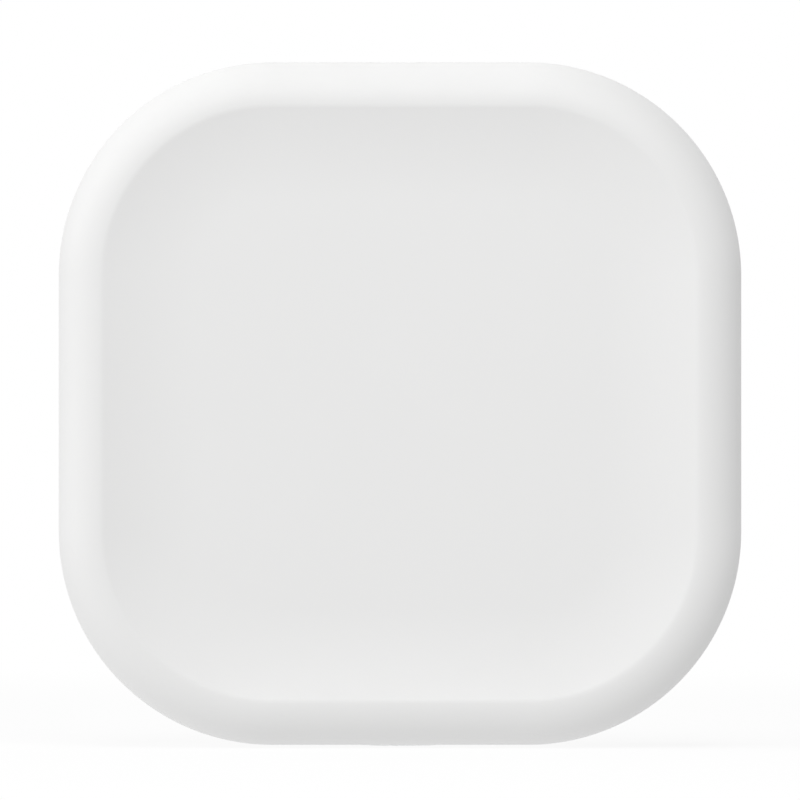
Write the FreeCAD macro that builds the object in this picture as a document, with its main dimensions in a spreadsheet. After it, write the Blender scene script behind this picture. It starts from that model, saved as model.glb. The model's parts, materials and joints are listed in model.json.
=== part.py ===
import FreeCAD, Part
import math
import os
import re
import Sketcher

# Plug-in zigbee range extender with a two-blade mains plug, in millimetres.
# X runs to the right as the front is seen, Z runs up and the front faces -Y.
# The wall plane is Y = 0. A depth is a distance in front of it, so Y = -depth.

Vector = FreeCAD.Vector
LEFT = 1
RIGHT = -1

SIZES = {
    # Housing seen from the front
    "body_side": 65.0,
    "corner_radius": 20.3,
    "rim_width": 4.0,
    "rim_fall": 4.35,
    "rim_crown": 3.8,
    "crest_radius": 1.4,
    "dish_run": 9.0,
    "dish_depth": 1.4,
    # Walls and the joint between the two halves
    "side_wall": 2.0,
    "front_wall": 2.2,
    "inner_round": 2.5,
    "back_round": 0.8,
    "fit_gap": 0.1,
    "cover_flange": 1.6,
    "cover_inset": 1.1,
    "cover_round": 0.6,
    "cover_floor": 2.4,
    "tongue_wall": 1.4,
    "tongue_length": 4.9,
    "snap_width": 9.0,
    "snap_offset": 3.0,
    "snap_land": 0.4,
    "snap_ramp": 0.9,
    "snap_reach": 0.5,
    "snap_slack": 0.2,
    # Stack of boards, from the cover's floor forwards
    "standoff_length": 5.6,
    "power_board_thick": 1.6,
    "board_gap": 8.4,
    "radio_board_thick": 1.0,
    "post_length": 7.4,
    # Screws and what they go into
    "boss_radius": 2.5,
    "screw_radius": 0.95,
    "screw_head_radius": 1.9,
    "screw_head_height": 1.3,
    "screw_head_bevel": 0.4,
    "screw_slot_width": 0.5,
    "screw_slot_depth": 0.6,
    "screw_grip": 5.0,
    "screw_tip_gap": 0.5,
    "thread_gap": 0.05,
    "screw_pass_gap": 0.15,
    "screw_floor": 0.8,
    # Pairing button in the bottom wall
    "button_width": 8.5,
    "button_height": 4.0,
    "button_bulge": 0.13,
    "button_bevel": 0.1,
    "button_gap": 0.1,
    "button_lip": 0.8,
    "button_flange": 1.0,
    "stem_radius": 1.2,
    "stem_length": 0.6,
    # Plug blades
    "blade_pitch": 12.7,
    "blade_width": 6.35,
    "blade_thick": 1.5,
    "blade_length": 17.2,
    "blade_chamfer": 1.2,
    "blade_bevel": 0.35,
    "blade_hole_radius": 1.98,
    "blade_hole_reach": 11.7,
    "shoulder_width": 9.5,
    "shoulder_thick": 2.0,
    "tail_width": 2.5,
    "tail_reach": 1.5,
    # Bar that clamps the blades to the cover
    "carrier_width": 20.0,
    "carrier_height": 10.4,
    "carrier_thick": 3.6,
    "carrier_round": 1.0,
    "ear_thick": 2.0,
    "ear_reach": 8.0,
    # Power board and its screws
    "board_edge_gap": 2.0,
    "power_screw_side_edge": 8.5,
    "power_screw_low": 12.0,
    "power_screw_top_edge": 5.0,
    # Transformer
    "transformer_x": -1.0,
    "transformer_gap": 1.1,
    "core_width": 13.0,
    "core_height": 13.0,
    "core_thick": 4.5,
    "core_leg": 2.2,
    "core_centre_leg": 3.4,
    "core_yoke": 2.2,
    "bobbin_gap": 0.1,
    "bobbin_wall": 0.5,
    "bobbin_flange": 0.9,
    "winding_build": 1.6,
    "winding_round": 1.2,
    "rail_width": 11.0,
    "rail_thick": 2.0,
    "rail_height": 1.6,
    # Mains parts on the power board
    "can_radius": 4.0,
    "can_height": 12.0,
    "can_bead": 0.3,
    "can_bevel": 0.5,
    "can_foot": 1.6,
    "can_1_x": -16.5,
    "can_1_z": 7.5,
    "can_2_x": -14.5,
    "can_2_z": 17.8,
    "can_3_x": 11.5,
    "can_3_z": 17.5,
    "varistor_x": 17.5,
    "varistor_z": 6.5,
    "varistor_radius": 4.0,
    "varistor_thick": 3.2,
    "varistor_bevel": 0.8,
    "film_x": 11.0,
    "film_z": 7.5,
    "film_width": 4.5,
    "film_length": 7.0,
    "film_height": 8.0,
    "film_bevel": 0.4,
    "lead_radius": 0.3,
    "lead_spread": 2.5,
    "lead_rise": 1.2,
    "fuse_x": -13.0,
    "fuse_z": -5.5,
    "fuse_radius": 1.6,
    "fuse_length": 6.4,
    "fuse_bevel": 0.5,
    "fuse_lead_run": 1.2,
    "fuse_lead_bend": 0.7,
    "choke_inwards": 5.0,
    "choke_below": 5.5,
    "choke_radius": 3.0,
    "choke_height": 5.5,
    "choke_flange": 1.0,
    "choke_waist": 0.5,
    # Chips, each a body between two rows of leads
    "chip_lead_reach": 0.9,
    "chip_lead_thick": 0.25,
    "bridge_x": -7.5,
    "bridge_z": -11.0,
    "bridge_width": 6.4,
    "bridge_length": 4.6,
    "bridge_height": 2.3,
    "controller_x": 2.5,
    "controller_z": -11.0,
    "controller_width": 4.9,
    "controller_length": 3.9,
    "controller_height": 1.6,
    "diode_x": 11.0,
    "diode_z": -5.5,
    "diode_width": 2.6,
    "diode_length": 4.2,
    "diode_height": 2.1,
    # Header that joins the boards
    "header_x": 12.0,
    "header_z": -18.5,
    "header_pitch": 2.54,
    "header_width": 2.5,
    "header_base": 2.5,
    "header_pin": 0.64,
    "header_tail": 1.1,
    "header_engage": 3.5,
    "header_slack": 0.1,
    # Radio board
    "radio_side_gap": 5.5,
    "radio_top": 3.5,
    "radio_low_round": 8.0,
    "radio_top_round": 1.5,
    "radio_screw_edge": 4.0,
    "module_x": -1.0,
    "module_z": -16.0,
    "module_width": 22.0,
    "module_height": 14.0,
    "module_thick": 0.8,
    "module_round": 0.8,
    "shield_x": 2.5,
    "shield_width": 13.0,
    "shield_height": 12.0,
    "shield_rise": 2.0,
    "shield_sheet": 0.25,
    "shield_round": 0.6,
    "antenna_x": -8.5,
    "antenna_pitch": 2.0,
    "antenna_reach": 4.0,
    "antenna_track": 0.8,
    "antenna_thick": 0.1,
    "crystal_x": 13.3,
    "crystal_z": -13.5,
    "crystal_width": 2.5,
    "crystal_length": 3.2,
    "crystal_height": 0.8,
    "crystal_round": 0.4,
    "regulator_x": 16.0,
    "regulator_z": -19.0,
    "regulator_width": 4.6,
    "regulator_length": 3.5,
    "regulator_height": 1.6,
    "led_x": 6.0,
    "led_width": 2.0,
    "led_height": 1.2,
    "led_rise": 0.9,
    "led_lens_round": 0.3,
    # Side-push switch behind the button
    "switch_width": 6.0,
    "switch_height": 3.5,
    "switch_depth": 3.5,
    "switch_lid": 0.5,
    "switch_room": 1.8,
    "switch_room_half_width": 2.0,
    "switch_room_half_depth": 1.25,
    "plunger_half_width": 1.3,
    "plunger_half_depth": 0.7,
    "plunger_lip": 0.4,
    "plunger_gap": 0.05,
    "plunger_reach": 1.4,
    "plunger_base": 0.5,
    "plunger_nub_radius": 0.5,
    "plunger_nub": 0.6,
    "dome_radius": 1.15,
    "dome_sheet": 0.1,
    "terminal_reach": 0.8,
    "terminal_width": 0.7,
    "terminal_thick": 0.3,
    "terminal_offset": 1.0,
    # Small chip parts
    "passive_length": 1.6,
    "passive_width": 0.8,
    "passive_height": 0.5,
    "passive_gap": 0.6,
}

DERIVED = {
    "half_side": "body_side / 2",
    # Depths of the stack
    "tongue_front": "cover_flange + tongue_length",
    "power_back": "cover_floor + standoff_length",
    "power_front": "power_back + power_board_thick",
    "radio_back": "power_front + board_gap",
    "radio_front": "radio_back + radio_board_thick",
    "underside": "radio_front + post_length",
    "floor_front": "underside + front_wall",
    "body_depth": "floor_front + dish_depth",
    # Rim: a wide arc up the side, then a tight one over the crown
    "rim_start": "body_depth - rim_fall",
    "side_arc": "(rim_fall^2 + rim_width^2 - 2 * rim_fall * rim_crown) / (2 * (rim_width - rim_crown))",
    "rim_join_depth": "rim_start + side_arc * (rim_fall - rim_crown) / (side_arc - rim_crown)",
    "rim_join_inset": "rim_width - (side_arc - rim_width) * rim_crown / (side_arc - rim_crown)",
    # Dish: one arc that leaves the crest at dish_angle and ends level
    "dish_angle": "2 * atan(dish_depth / dish_run)",
    "dish_radius": "dish_run / sin(dish_angle) - crest_radius",
    "crest_inset": "rim_width + crest_radius * sin(dish_angle)",
    "crest_end": "body_depth - crest_radius * (1 - cos(dish_angle))",
    "dish_inset": "rim_width + dish_run",
    # Cover
    "plug_inset": "side_wall + fit_gap",
    "tray_inset": "plug_inset + tongue_wall",
    "snap_start": "cover_flange + snap_offset",
    "snap_flat_end": "snap_start + snap_land",
    "snap_end": "snap_flat_end + snap_ramp",
    # Screws
    "thread_radius": "screw_radius + thread_gap",
    "pass_radius": "screw_radius + screw_pass_gap",
    "carrier_hole_length": "ear_back - screw_floor",
    "carrier_screw_grip": "carrier_hole_length + ear_thick - screw_tip_gap",
    # Button chain, from the bottom wall's inner face up to the switch
    "button_depth": "radio_back - switch_depth / 2",
    "inner_low": "half_side - side_wall",
    "plunger_tip": "inner_low - button_flange - stem_length",
    "switch_face": "plunger_tip - plunger_reach",
    "lid_inside": "switch_face - switch_lid",
    "dome_base": "lid_inside - switch_room",
    "dome_top": "lid_inside - plunger_base - plunger_nub",
    # Blades and their clamp
    "shoulder_front": "cover_floor + shoulder_thick",
    "tail_front": "power_front + tail_reach",
    "carrier_front": "cover_floor + carrier_thick",
    "ear_back": "carrier_front - ear_thick",
    # Boards
    "power_half": "half_side - tray_inset - board_edge_gap",
    "power_corner": "corner_radius - tray_inset - board_edge_gap",
    "power_screw_side": "power_half - power_screw_side_edge",
    "power_screw_high": "power_half - power_screw_top_edge",
    "choke_x": "choke_inwards - power_screw_side",
    "choke_z": "-(power_screw_low + choke_below)",
    "radio_half": "power_half - radio_side_gap",
    "radio_screw_x": "radio_half - radio_screw_edge",
    "radio_screw_z": "radio_top + radio_screw_edge",
    "module_front": "radio_front + module_thick",
    # Transformer
    "transformer_z": "power_screw_high - screw_head_radius - transformer_gap - core_height / 2",
    "window_width": "(core_width - core_centre_leg) / 2 - core_leg",
    "window_height": "core_height - 2 * core_yoke",
    "tube_half_x": "core_centre_leg / 2 + bobbin_gap + bobbin_wall",
    "tube_half_depth": "core_thick / 2 + bobbin_gap + bobbin_wall",
    "core_middle": "power_front + rail_height + tube_half_depth + winding_build + bobbin_gap",
    "bobbin_half": "window_height / 2 - bobbin_gap",
    # Header
    "header_span": "5 * header_pitch",
    "header_length": "6 * header_pitch",
    "socket_back": "power_front + header_base",
}

WORD = re.compile(r"[a-z][a-z0-9_]*")

doc = FreeCAD.newDocument("RangeExtender")
sheet = doc.addObject("Spreadsheet::Sheet", "Sizes")
for row, (alias, size) in enumerate(SIZES.items(), 1):
    sheet.set(f"A{row}", alias)
    sheet.set(f"B{row}", str(size))
    sheet.setAlias(f"B{row}", alias)
doc.recompute()


def formula(text):
    """Write a formula in size names as an expression on the sheet's cells."""

    def lookup(match):
        name = match.group()
        if name in DERIVED:
            return "(" + formula(DERIVED[name]) + ")"
        if name in SIZES:
            return "Sizes." + name
        return name

    return WORD.sub(lookup, text)


def number(text):
    """Work out a formula with the sizes that the sheet holds now."""
    return float(sheet.evalExpression(formula(text)))


# Sketches. A coordinate is a formula. A loop is a circle (x, y, radius) or a list of corners.
# A corner is (x, y), or (x, y, turn, radius) where the edge that leaves it is an arc.


def origin_feature(body, role):
    for feature in body.Origin.OriginFeatures:
        if feature.Role == role:
            return feature
    raise ValueError(role)


def bind(sketch, constraint, text):
    index = sketch.addConstraint(constraint)
    sketch.setExpression(f"Constraints[{index}]", formula(text))


def hold(sketch, edge, end, x, y):
    """Keep one point of an edge at its two coordinates."""
    bind(sketch, Sketcher.Constraint("DistanceX", -1, 1, edge, end, number(x)), x)
    bind(sketch, Sketcher.Constraint("DistanceY", -1, 1, edge, end, number(y)), y)


def draw_circle(sketch, x, y, radius):
    centre = Vector(number(x), number(y), 0)
    circle = Part.Circle(centre, Vector(0, 0, 1), number(radius))
    edge = sketch.addGeometry(circle, False)
    hold(sketch, edge, 3, x, y)
    bind(sketch, Sketcher.Constraint("Radius", edge, number(radius)), radius)


def draw_arc(sketch, start, end, turn, radius):
    """Draw the short arc from start to end and return it with its two end codes."""
    size = number(radius)
    chord = end - start
    reach = math.sqrt(max(size**2 - (chord.Length / 2) ** 2, 0))
    leftwards = Vector(-chord.y, chord.x, 0).normalize()
    centre = (start + end) / 2 + leftwards * (turn * reach)
    first, last = (start, end) if turn == LEFT else (end, start)
    first_angle = math.atan2(first.y - centre.y, first.x - centre.x)
    last_angle = math.atan2(last.y - centre.y, last.x - centre.x)
    circle = Part.Circle(centre, Vector(0, 0, 1), size)
    edge = sketch.addGeometry(Part.ArcOfCircle(circle, first_angle, last_angle), False)
    bind(sketch, Sketcher.Constraint("Radius", edge, size), radius)
    return (edge, 1, 2) if turn == LEFT else (edge, 2, 1)


def draw_edges(sketch, corners, points):
    edges = []
    for start, end, corner in zip(points, points[1:], corners):
        if len(corner) == 2:
            edges.append((sketch.addGeometry(Part.LineSegment(start, end), False), 1, 2))
        else:
            edges.append(draw_arc(sketch, start, end, corner[2], corner[3]))
    for before, after in zip(edges, edges[1:]):
        meeting = Sketcher.Constraint("Coincident", before[0], before[2], after[0], after[1])
        sketch.addConstraint(meeting)
    for (edge, first, _last), corner in zip(edges, corners):
        hold(sketch, edge, first, corner[0], corner[1])
    return edges


def draw_outline(sketch, corners):
    """Draw a closed outline: the last corner's edge runs back to the first corner."""
    points = [Vector(number(corner[0]), number(corner[1]), 0) for corner in corners]
    edges = draw_edges(sketch, corners, points + points[:1])
    before, after = edges[-1], edges[0]
    sketch.addConstraint(Sketcher.Constraint("Coincident", before[0], before[2], after[0], after[1]))


def draw_path(body, name, plane, corners):
    """Add a sketch of an open line from the first corner to the last."""
    sketch = place_sketch(body, name, plane, "0")
    points = [Vector(number(corner[0]), number(corner[1]), 0) for corner in corners]
    edge, _first, last = draw_edges(sketch, corners, points)[-1]
    hold(sketch, edge, last, corners[-1][0], corners[-1][1])
    return sketch


def place_sketch(body, name, plane, offset):
    sketch = body.newObject("Sketcher::SketchObject", name)
    sketch.AttachmentSupport = (origin_feature(body, plane), [""])
    sketch.MapMode = "FlatFace"
    sketch.setExpression("AttachmentOffset.Base.z", formula(offset))
    return sketch


def draw(body, name, plane, loops, offset="0"):
    """Add a sketch on one of the body's origin planes, moved along its normal by the offset.

    On XZ_Plane the offset is a depth, on XY_Plane a height and on YZ_Plane an X."""
    sketch = place_sketch(body, name, plane, offset)
    for loop in loops:
        if isinstance(loop, tuple):
            draw_circle(sketch, *loop)
        else:
            draw_outline(sketch, loop)
    return sketch


def rectangle(x, y, half_x, half_y):
    return [
        (f"{x} - ({half_x})", f"{y} - ({half_y})"),
        (f"{x} + ({half_x})", f"{y} - ({half_y})"),
        (f"{x} + ({half_x})", f"{y} + ({half_y})"),
        (f"{x} - ({half_x})", f"{y} + ({half_y})"),
    ]


def rounded(x, y, half_x, half_y, radius):
    left, right = f"{x} - ({half_x})", f"{x} + ({half_x})"
    low, high = f"{y} - ({half_y})", f"{y} + ({half_y})"
    return [
        (f"{left} + ({radius})", low),
        (f"{right} - ({radius})", low, LEFT, radius),
        (right, f"{low} + ({radius})"),
        (right, f"{high} - ({radius})", LEFT, radius),
        (f"{right} - ({radius})", high),
        (f"{left} + ({radius})", high, LEFT, radius),
        (left, f"{high} - ({radius})"),
        (left, f"{low} + ({radius})", LEFT, radius),
    ]


def pill(x, y, half_x, half_y):
    """An outline with round ends, longer in X: half_x and half_y reach out from its centre."""
    left, right = f"{x} - ({half_x})", f"{x} + ({half_x})"
    low, high = f"{y} - ({half_y})", f"{y} + ({half_y})"
    return [
        (f"{left} + ({half_y})", low),
        (f"{right} - ({half_y})", low, LEFT, half_y),
        (right, y, LEFT, half_y),
        (f"{right} - ({half_y})", high),
        (f"{left} + ({half_y})", high, LEFT, half_y),
        (left, y, LEFT, half_y),
    ]


def upright_pill(x, y, half_x, half_y):
    left, right = f"{x} - ({half_x})", f"{x} + ({half_x})"
    low, high = f"{y} - ({half_y})", f"{y} + ({half_y})"
    return [
        (right, f"{low} + ({half_x})"),
        (right, f"{high} - ({half_x})", LEFT, half_x),
        (x, high, LEFT, half_x),
        (left, f"{high} - ({half_x})"),
        (left, f"{low} + ({half_x})", LEFT, half_x),
        (x, low, LEFT, half_x),
    ]


def squircle(inset):
    """The housing's rounded square, drawn the inset inside its outer surface."""
    half = f"half_side - ({inset})"
    return rounded("0", "0", half, half, f"corner_radius - ({inset})")


# Features. Each is built at once, so a cut that misses the solid is caught.


def settle(body, feature, grows):
    before = 0 if body.Tip is None or body.Tip == feature else body.Tip.Shape.Volume
    body.Tip = feature
    doc.recompute()
    after = feature.Shape.Volume
    if (after > before) != grows or abs(after - before) < 1e-6:
        raise RuntimeError(f"{body.Label}.{feature.Label}: {before} became {after}")
    return feature


def add_feature(body, kind, name, profile, grows, backwards, sizes):
    tip = body.Tip
    feature = body.newObject(kind, name)
    body.Tip = tip
    feature.Profile = profile
    feature.Reversed = backwards
    for property_name, text in sizes.items():
        feature.setExpression(property_name, formula(text))
    if kind == "PartDesign::Pocket" and not sizes:
        feature.Type = "ThroughAll"
    return settle(body, feature, grows)


def pad(body, name, profile, length, backwards=False):
    sizes = {"Length": length}
    return add_feature(body, "PartDesign::Pad", name, profile, True, backwards, sizes)


def pocket(body, name, profile, length=None, backwards=False):
    sizes = {} if length is None else {"Length": length}
    return add_feature(body, "PartDesign::Pocket", name, profile, False, backwards, sizes)


def revolve(body, name, profile, axis):
    """Turn a profile round one of its sketch's axes, H_Axis or V_Axis."""
    feature = body.newObject("PartDesign::Revolution", name)
    feature.Profile = profile
    feature.ReferenceAxis = (profile, [axis])
    feature.Angle = 360
    body.Tip = feature
    doc.recompute()
    return feature


def sweep(body, name, section, path):
    """Carry a section along a path that starts in the section's plane."""
    doc.recompute()
    feature = body.newObject("PartDesign::AdditivePipe", name)
    feature.Profile = section
    feature.Spine = (path, [])
    feature.Mode = "Frenet"
    body.Tip = feature
    doc.recompute()
    return feature


def mirror(body, name, originals):
    """Repeat features on the other side of the YZ plane."""
    copy = body.newObject("PartDesign::Mirrored", name)
    copy.Originals = originals
    copy.MirrorPlane = (origin_feature(body, "YZ_Plane"), [""])
    body.Tip = copy
    doc.recompute()
    return copy


def edges_where(body, chosen):
    shape = body.Tip.Shape
    return [f"Edge{index}" for index, edge in enumerate(shape.Edges, 1) if chosen(edge)]


def blend(body, kind, name, size, chosen):
    """Round or chamfer the edges of the last feature that the test picks."""
    base = body.Tip
    names = edges_where(body, chosen)
    feature = body.newObject(kind, name)
    feature.Base = (base, names)
    property_name = "Radius" if kind == "PartDesign::Fillet" else "Size"
    feature.setExpression(property_name, formula(size))
    body.Tip = feature
    doc.recompute()
    return feature


def around(body, name, originals, count):
    """Repeat features round the Y axis."""
    pattern = body.newObject("PartDesign::PolarPattern", name)
    pattern.Originals = originals
    pattern.Axis = (origin_feature(body, "Y_Axis"), [""])
    pattern.Angle = 360
    pattern.Occurrences = count
    body.Tip = pattern
    doc.recompute()
    return pattern


def along(body, name, originals, span, count):
    """Repeat features along X, the first and last the span apart."""
    pattern = body.newObject("PartDesign::LinearPattern", name)
    pattern.Originals = originals
    pattern.Direction = (origin_feature(body, "X_Axis"), [""])
    pattern.setExpression("Length", formula(span))
    pattern.Occurrences = count
    body.Tip = pattern
    doc.recompute()
    return pattern


def new_body(label, x="0", depth="0", z="0", turn=0):
    """Start a sub-part whose own origin stands at the given place, turned round Z."""
    body = doc.addObject("PartDesign::Body", label)
    body.Label = label
    body.Placement.Rotation = FreeCAD.Rotation(Vector(0, 0, 1), turn)
    body.setExpression("Placement.Base.x", formula(x))
    body.setExpression("Placement.Base.y", formula(f"-({depth})"))
    body.setExpression("Placement.Base.z", formula(z))
    return body


# Housing


def front_shell():
    """Side walls, crowned rim and dish edge swept in one round the housing, then the middle."""
    body = new_body("front_shell")
    path = draw(body, "shell_path", "XZ_Plane", [squircle("0")])

    def at(depth, inset):
        return (f"-({depth})", f"half_side - ({inset})")

    wall = [
        at("cover_flange + back_round", "0"),
        at("rim_start", "0") + (LEFT, "side_arc"),
        at("rim_join_depth", "rim_join_inset") + (LEFT, "rim_crown"),
        at("body_depth", "rim_width") + (LEFT, "crest_radius"),
        at("crest_end", "crest_inset") + (RIGHT, "dish_radius"),
        at("floor_front", "dish_inset"),
        at("underside", "dish_inset"),
        at("underside", "side_wall + inner_round") + (RIGHT, "inner_round"),
        at("underside - inner_round", "side_wall"),
        at("cover_flange", "side_wall"),
        at("cover_flange", "back_round") + (LEFT, "back_round"),
    ]
    section = draw(body, "shell_section", "YZ_Plane", [wall])
    sweep(body, "swept_wall", section, path)

    middle = draw(body, "middle_outline", "XZ_Plane", [squircle("dish_inset")], "underside")
    pad(body, "middle_plate", middle, "front_wall")

    window = pill("0", "-(button_depth)", "button_width / 2 + button_gap", "button_height / 2 + button_gap")
    window_sketch = draw(body, "window_outline", "XY_Plane", [window], "-(inner_low - button_flange)")
    pocket(body, "button_window", window_sketch, "side_wall + button_flange + button_lip")

    catch = [
        ("-(snap_start - fit_gap)", "inner_low - snap_reach"),
        ("-(snap_start - fit_gap)", "inner_low + snap_reach - fit_gap + snap_slack"),
        ("-(snap_end + fit_gap)", "inner_low + snap_reach - fit_gap + snap_slack"),
        ("-(snap_end + fit_gap)", "inner_low - snap_reach"),
    ]
    catch_sketch = draw(body, "catch_outline", "YZ_Plane", [catch], "snap_width / 2 + fit_gap")
    first_catch = pocket(body, "catch", catch_sketch, "snap_width + 2 * fit_gap")
    around(body, "catches", [first_catch], 4)

    places = [(f"{sign}radio_screw_x", "-radio_screw_z") for sign in ("-", "")]
    posts = draw(body, "post_outlines", "XZ_Plane", [(x, z, "boss_radius") for x, z in places], "radio_front")
    pad(body, "board_posts", posts, "post_length")
    circles = [(x, z, "thread_radius") for x, z in places]
    holes = draw(body, "post_hole_outlines", "XZ_Plane", circles, "radio_front")
    pocket(body, "post_holes", holes, "screw_grip - radio_board_thick + screw_tip_gap", backwards=True)
    return body


def back_cover():
    """Wall plate with a tongue that snaps into the shell, board standoffs and blade slots."""
    body = new_body("back_cover")
    flange = draw(body, "flange_outline", "XZ_Plane", [squircle("cover_inset")])
    pad(body, "flange", flange, "cover_flange")
    blend(body, "PartDesign::Fillet", "wall_edge", "cover_round", lambda edge: edge.BoundBox.YMin > -1e-4)

    plug = draw(body, "plug_outline", "XZ_Plane", [squircle("plug_inset")], "cover_flange")
    pad(body, "plug", plug, "tongue_length")
    tray = draw(body, "tray_outline", "XZ_Plane", [squircle("tray_inset")], "tongue_front")
    pocket(body, "tray", tray, "tongue_front - cover_floor")

    face = "half_side - plug_inset"
    hook = [
        ("-snap_start", f"{face} - snap_reach"),
        ("-snap_end", f"{face} - snap_reach"),
        ("-snap_end", face),
        ("-snap_flat_end", f"{face} + snap_reach"),
        ("-snap_start", f"{face} + snap_reach"),
    ]
    hook_sketch = draw(body, "hook_outline", "YZ_Plane", [hook[::-1]], "-(snap_width / 2)")
    first_hook = pad(body, "hook", hook_sketch, "snap_width")
    around(body, "hooks", [first_hook], 4)

    places = power_screw_places()
    circles = [(x, z, "boss_radius") for x, z in places]
    standoffs = draw(body, "standoff_outlines", "XZ_Plane", circles, "cover_floor")
    pad(body, "standoffs", standoffs, "standoff_length")
    circles = [(x, z, "thread_radius") for x, z in places]
    holes = draw(body, "standoff_hole_outlines", "XZ_Plane", circles, "power_back")
    pocket(body, "standoff_holes", holes, "screw_grip - power_board_thick + screw_tip_gap")

    places = [("0", f"{sign}ear_reach") for sign in ("-", "")]
    circles = [(x, z, "boss_radius") for x, z in places]
    bosses = draw(body, "boss_outlines", "XZ_Plane", circles, "cover_floor")
    pad(body, "carrier_bosses", bosses, "ear_back - cover_floor")
    circles = [(x, z, "thread_radius") for x, z in places]
    holes = draw(body, "boss_hole_outlines", "XZ_Plane", circles, "ear_back")
    pocket(body, "boss_holes", holes, "carrier_hole_length")

    slots = blade_loops("blade_thick / 2 + fit_gap", "blade_width / 2 + fit_gap")
    slot_sketch = draw(body, "blade_slot_outlines", "XZ_Plane", slots, "cover_floor")
    pocket(body, "blade_slots", slot_sketch)
    return body


def power_screw_places():
    return [
        ("-power_screw_side", "-power_screw_low"),
        ("power_screw_side", "-power_screw_low"),
        ("0", "power_screw_high"),
    ]


def blade_loops(half_x, half_z):
    return [rectangle(f"{sign}blade_pitch / 2", "0", half_x, half_z) for sign in ("-", "")]


def action_button():
    """Cap through the bottom wall, a lip that keeps it in and a stem that meets the switch."""
    body = new_body("action_button")
    cap = pill("0", "-(button_depth)", "button_width / 2", "button_height / 2")
    cap_sketch = draw(body, "cap_outline", "XY_Plane", [cap], "-(inner_low)")
    pad(body, "cap", cap_sketch, "side_wall + button_bulge", backwards=True)
    blend(body, "PartDesign::Chamfer", "cap_edge", "button_bevel",
          lambda edge: edge.BoundBox.ZMax < -number("half_side"))
    lip = pill("0", "-(button_depth)", "button_width / 2 + button_lip", "button_height / 2 + button_lip")
    lip_sketch = draw(body, "lip_outline", "XY_Plane", [lip], "-(inner_low)")
    pad(body, "lip", lip_sketch, "button_flange")
    stem = draw(body, "stem_outline", "XY_Plane", [("0", "-(button_depth)", "stem_radius")],
                "-(inner_low - button_flange)")
    pad(body, "stem", stem, "stem_length")
    return body


# Plug


def blade(label, side):
    """One stamped blade: chamfered tip, holed, with shoulders inside and a tail to the board."""
    body = new_body(label)
    tip = "blade_length"
    upper = [
        (f"{tip}", "blade_width / 2 - blade_chamfer"),
        (f"{tip} - blade_chamfer", "blade_width / 2"),
        ("-cover_floor", "blade_width / 2"),
        ("-cover_floor", "shoulder_width / 2"),
        ("-(shoulder_front)", "shoulder_width / 2"),
        ("-(shoulder_front)", "tail_width / 2"),
        ("-(tail_front)", "tail_width / 2"),
    ]
    lower = [(x, f"-({y})") for x, y in reversed(upper)]
    outline = draw(body, "blade_outline", "YZ_Plane", [upper + lower],
                   f"{side}blade_pitch / 2 - blade_thick / 2")
    pad(body, "stamping", outline, "blade_thick")
    hole = draw(body, "hole_outline", "YZ_Plane", [("blade_hole_reach", "0", "blade_hole_radius")],
                f"{side}blade_pitch / 2 + blade_thick / 2")
    pocket(body, "hole", hole)
    reach = number("blade_length") - 1e-4
    blend(body, "PartDesign::Chamfer", "tip_bevel", "blade_bevel",
          lambda edge: edge.BoundBox.YMin > reach and edge.BoundBox.ZLength > 1)
    return body


def blade_carrier():
    """Bar that sits over the blades' shoulders, screwed down through an ear at each end."""
    body = new_body("blade_carrier")
    block = rounded("0", "0", "carrier_width / 2", "carrier_height / 2", "carrier_round")
    block_sketch = draw(body, "block_outline", "XZ_Plane", [block], "cover_floor")
    pad(body, "block", block_sketch, "carrier_thick")
    ears = upright_pill("0", "0", "boss_radius", "ear_reach + boss_radius")
    ear_sketch = draw(body, "ear_outline", "XZ_Plane", [ears], "ear_back")
    pad(body, "ears", ear_sketch, "ear_thick")
    seats = blade_loops("blade_thick / 2 + fit_gap", "shoulder_width / 2 + fit_gap")
    seat_sketch = draw(body, "seat_outlines", "XZ_Plane", seats, "cover_floor")
    pocket(body, "shoulder_seats", seat_sketch, "shoulder_thick", backwards=True)
    slots = blade_loops("blade_thick / 2 + fit_gap", "tail_width / 2 + fit_gap")
    slot_sketch = draw(body, "tail_slot_outlines", "XZ_Plane", slots, "carrier_front")
    pocket(body, "tail_slots", slot_sketch)
    holes = [("0", f"{sign}ear_reach", "pass_radius") for sign in ("-", "")]
    hole_sketch = draw(body, "ear_hole_outlines", "XZ_Plane", holes, "carrier_front")
    pocket(body, "ear_holes", hole_sketch)
    return body


def screw(label, x, depth, z, grip, turn=0):
    """Pan-head screw: its head lies in front of the seat and its shank runs to the wall side."""
    body = new_body(label, x, depth, z, turn)
    shank = [
        ("0", "-screw_head_height"),
        ("screw_head_radius - screw_head_bevel", "-screw_head_height"),
        ("screw_head_radius", "screw_head_bevel - screw_head_height"),
        ("screw_head_radius", "0"),
        ("screw_radius", "0"),
        ("screw_radius", f"{grip} - screw_radius / 2"),
        ("screw_radius / 2", grip),
        ("0", grip),
    ]
    profile = draw(body, "screw_section", "XY_Plane", [shank])
    revolve(body, "turning", profile, "V_Axis")
    slot = rectangle("0", "0", "screw_head_radius - screw_head_bevel", "screw_slot_width / 2")
    slot_sketch = draw(body, "slot_outline", "XZ_Plane", [slot], "screw_head_height")
    pocket(body, "slot", slot_sketch, "screw_slot_depth")
    return body


# Power board


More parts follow.
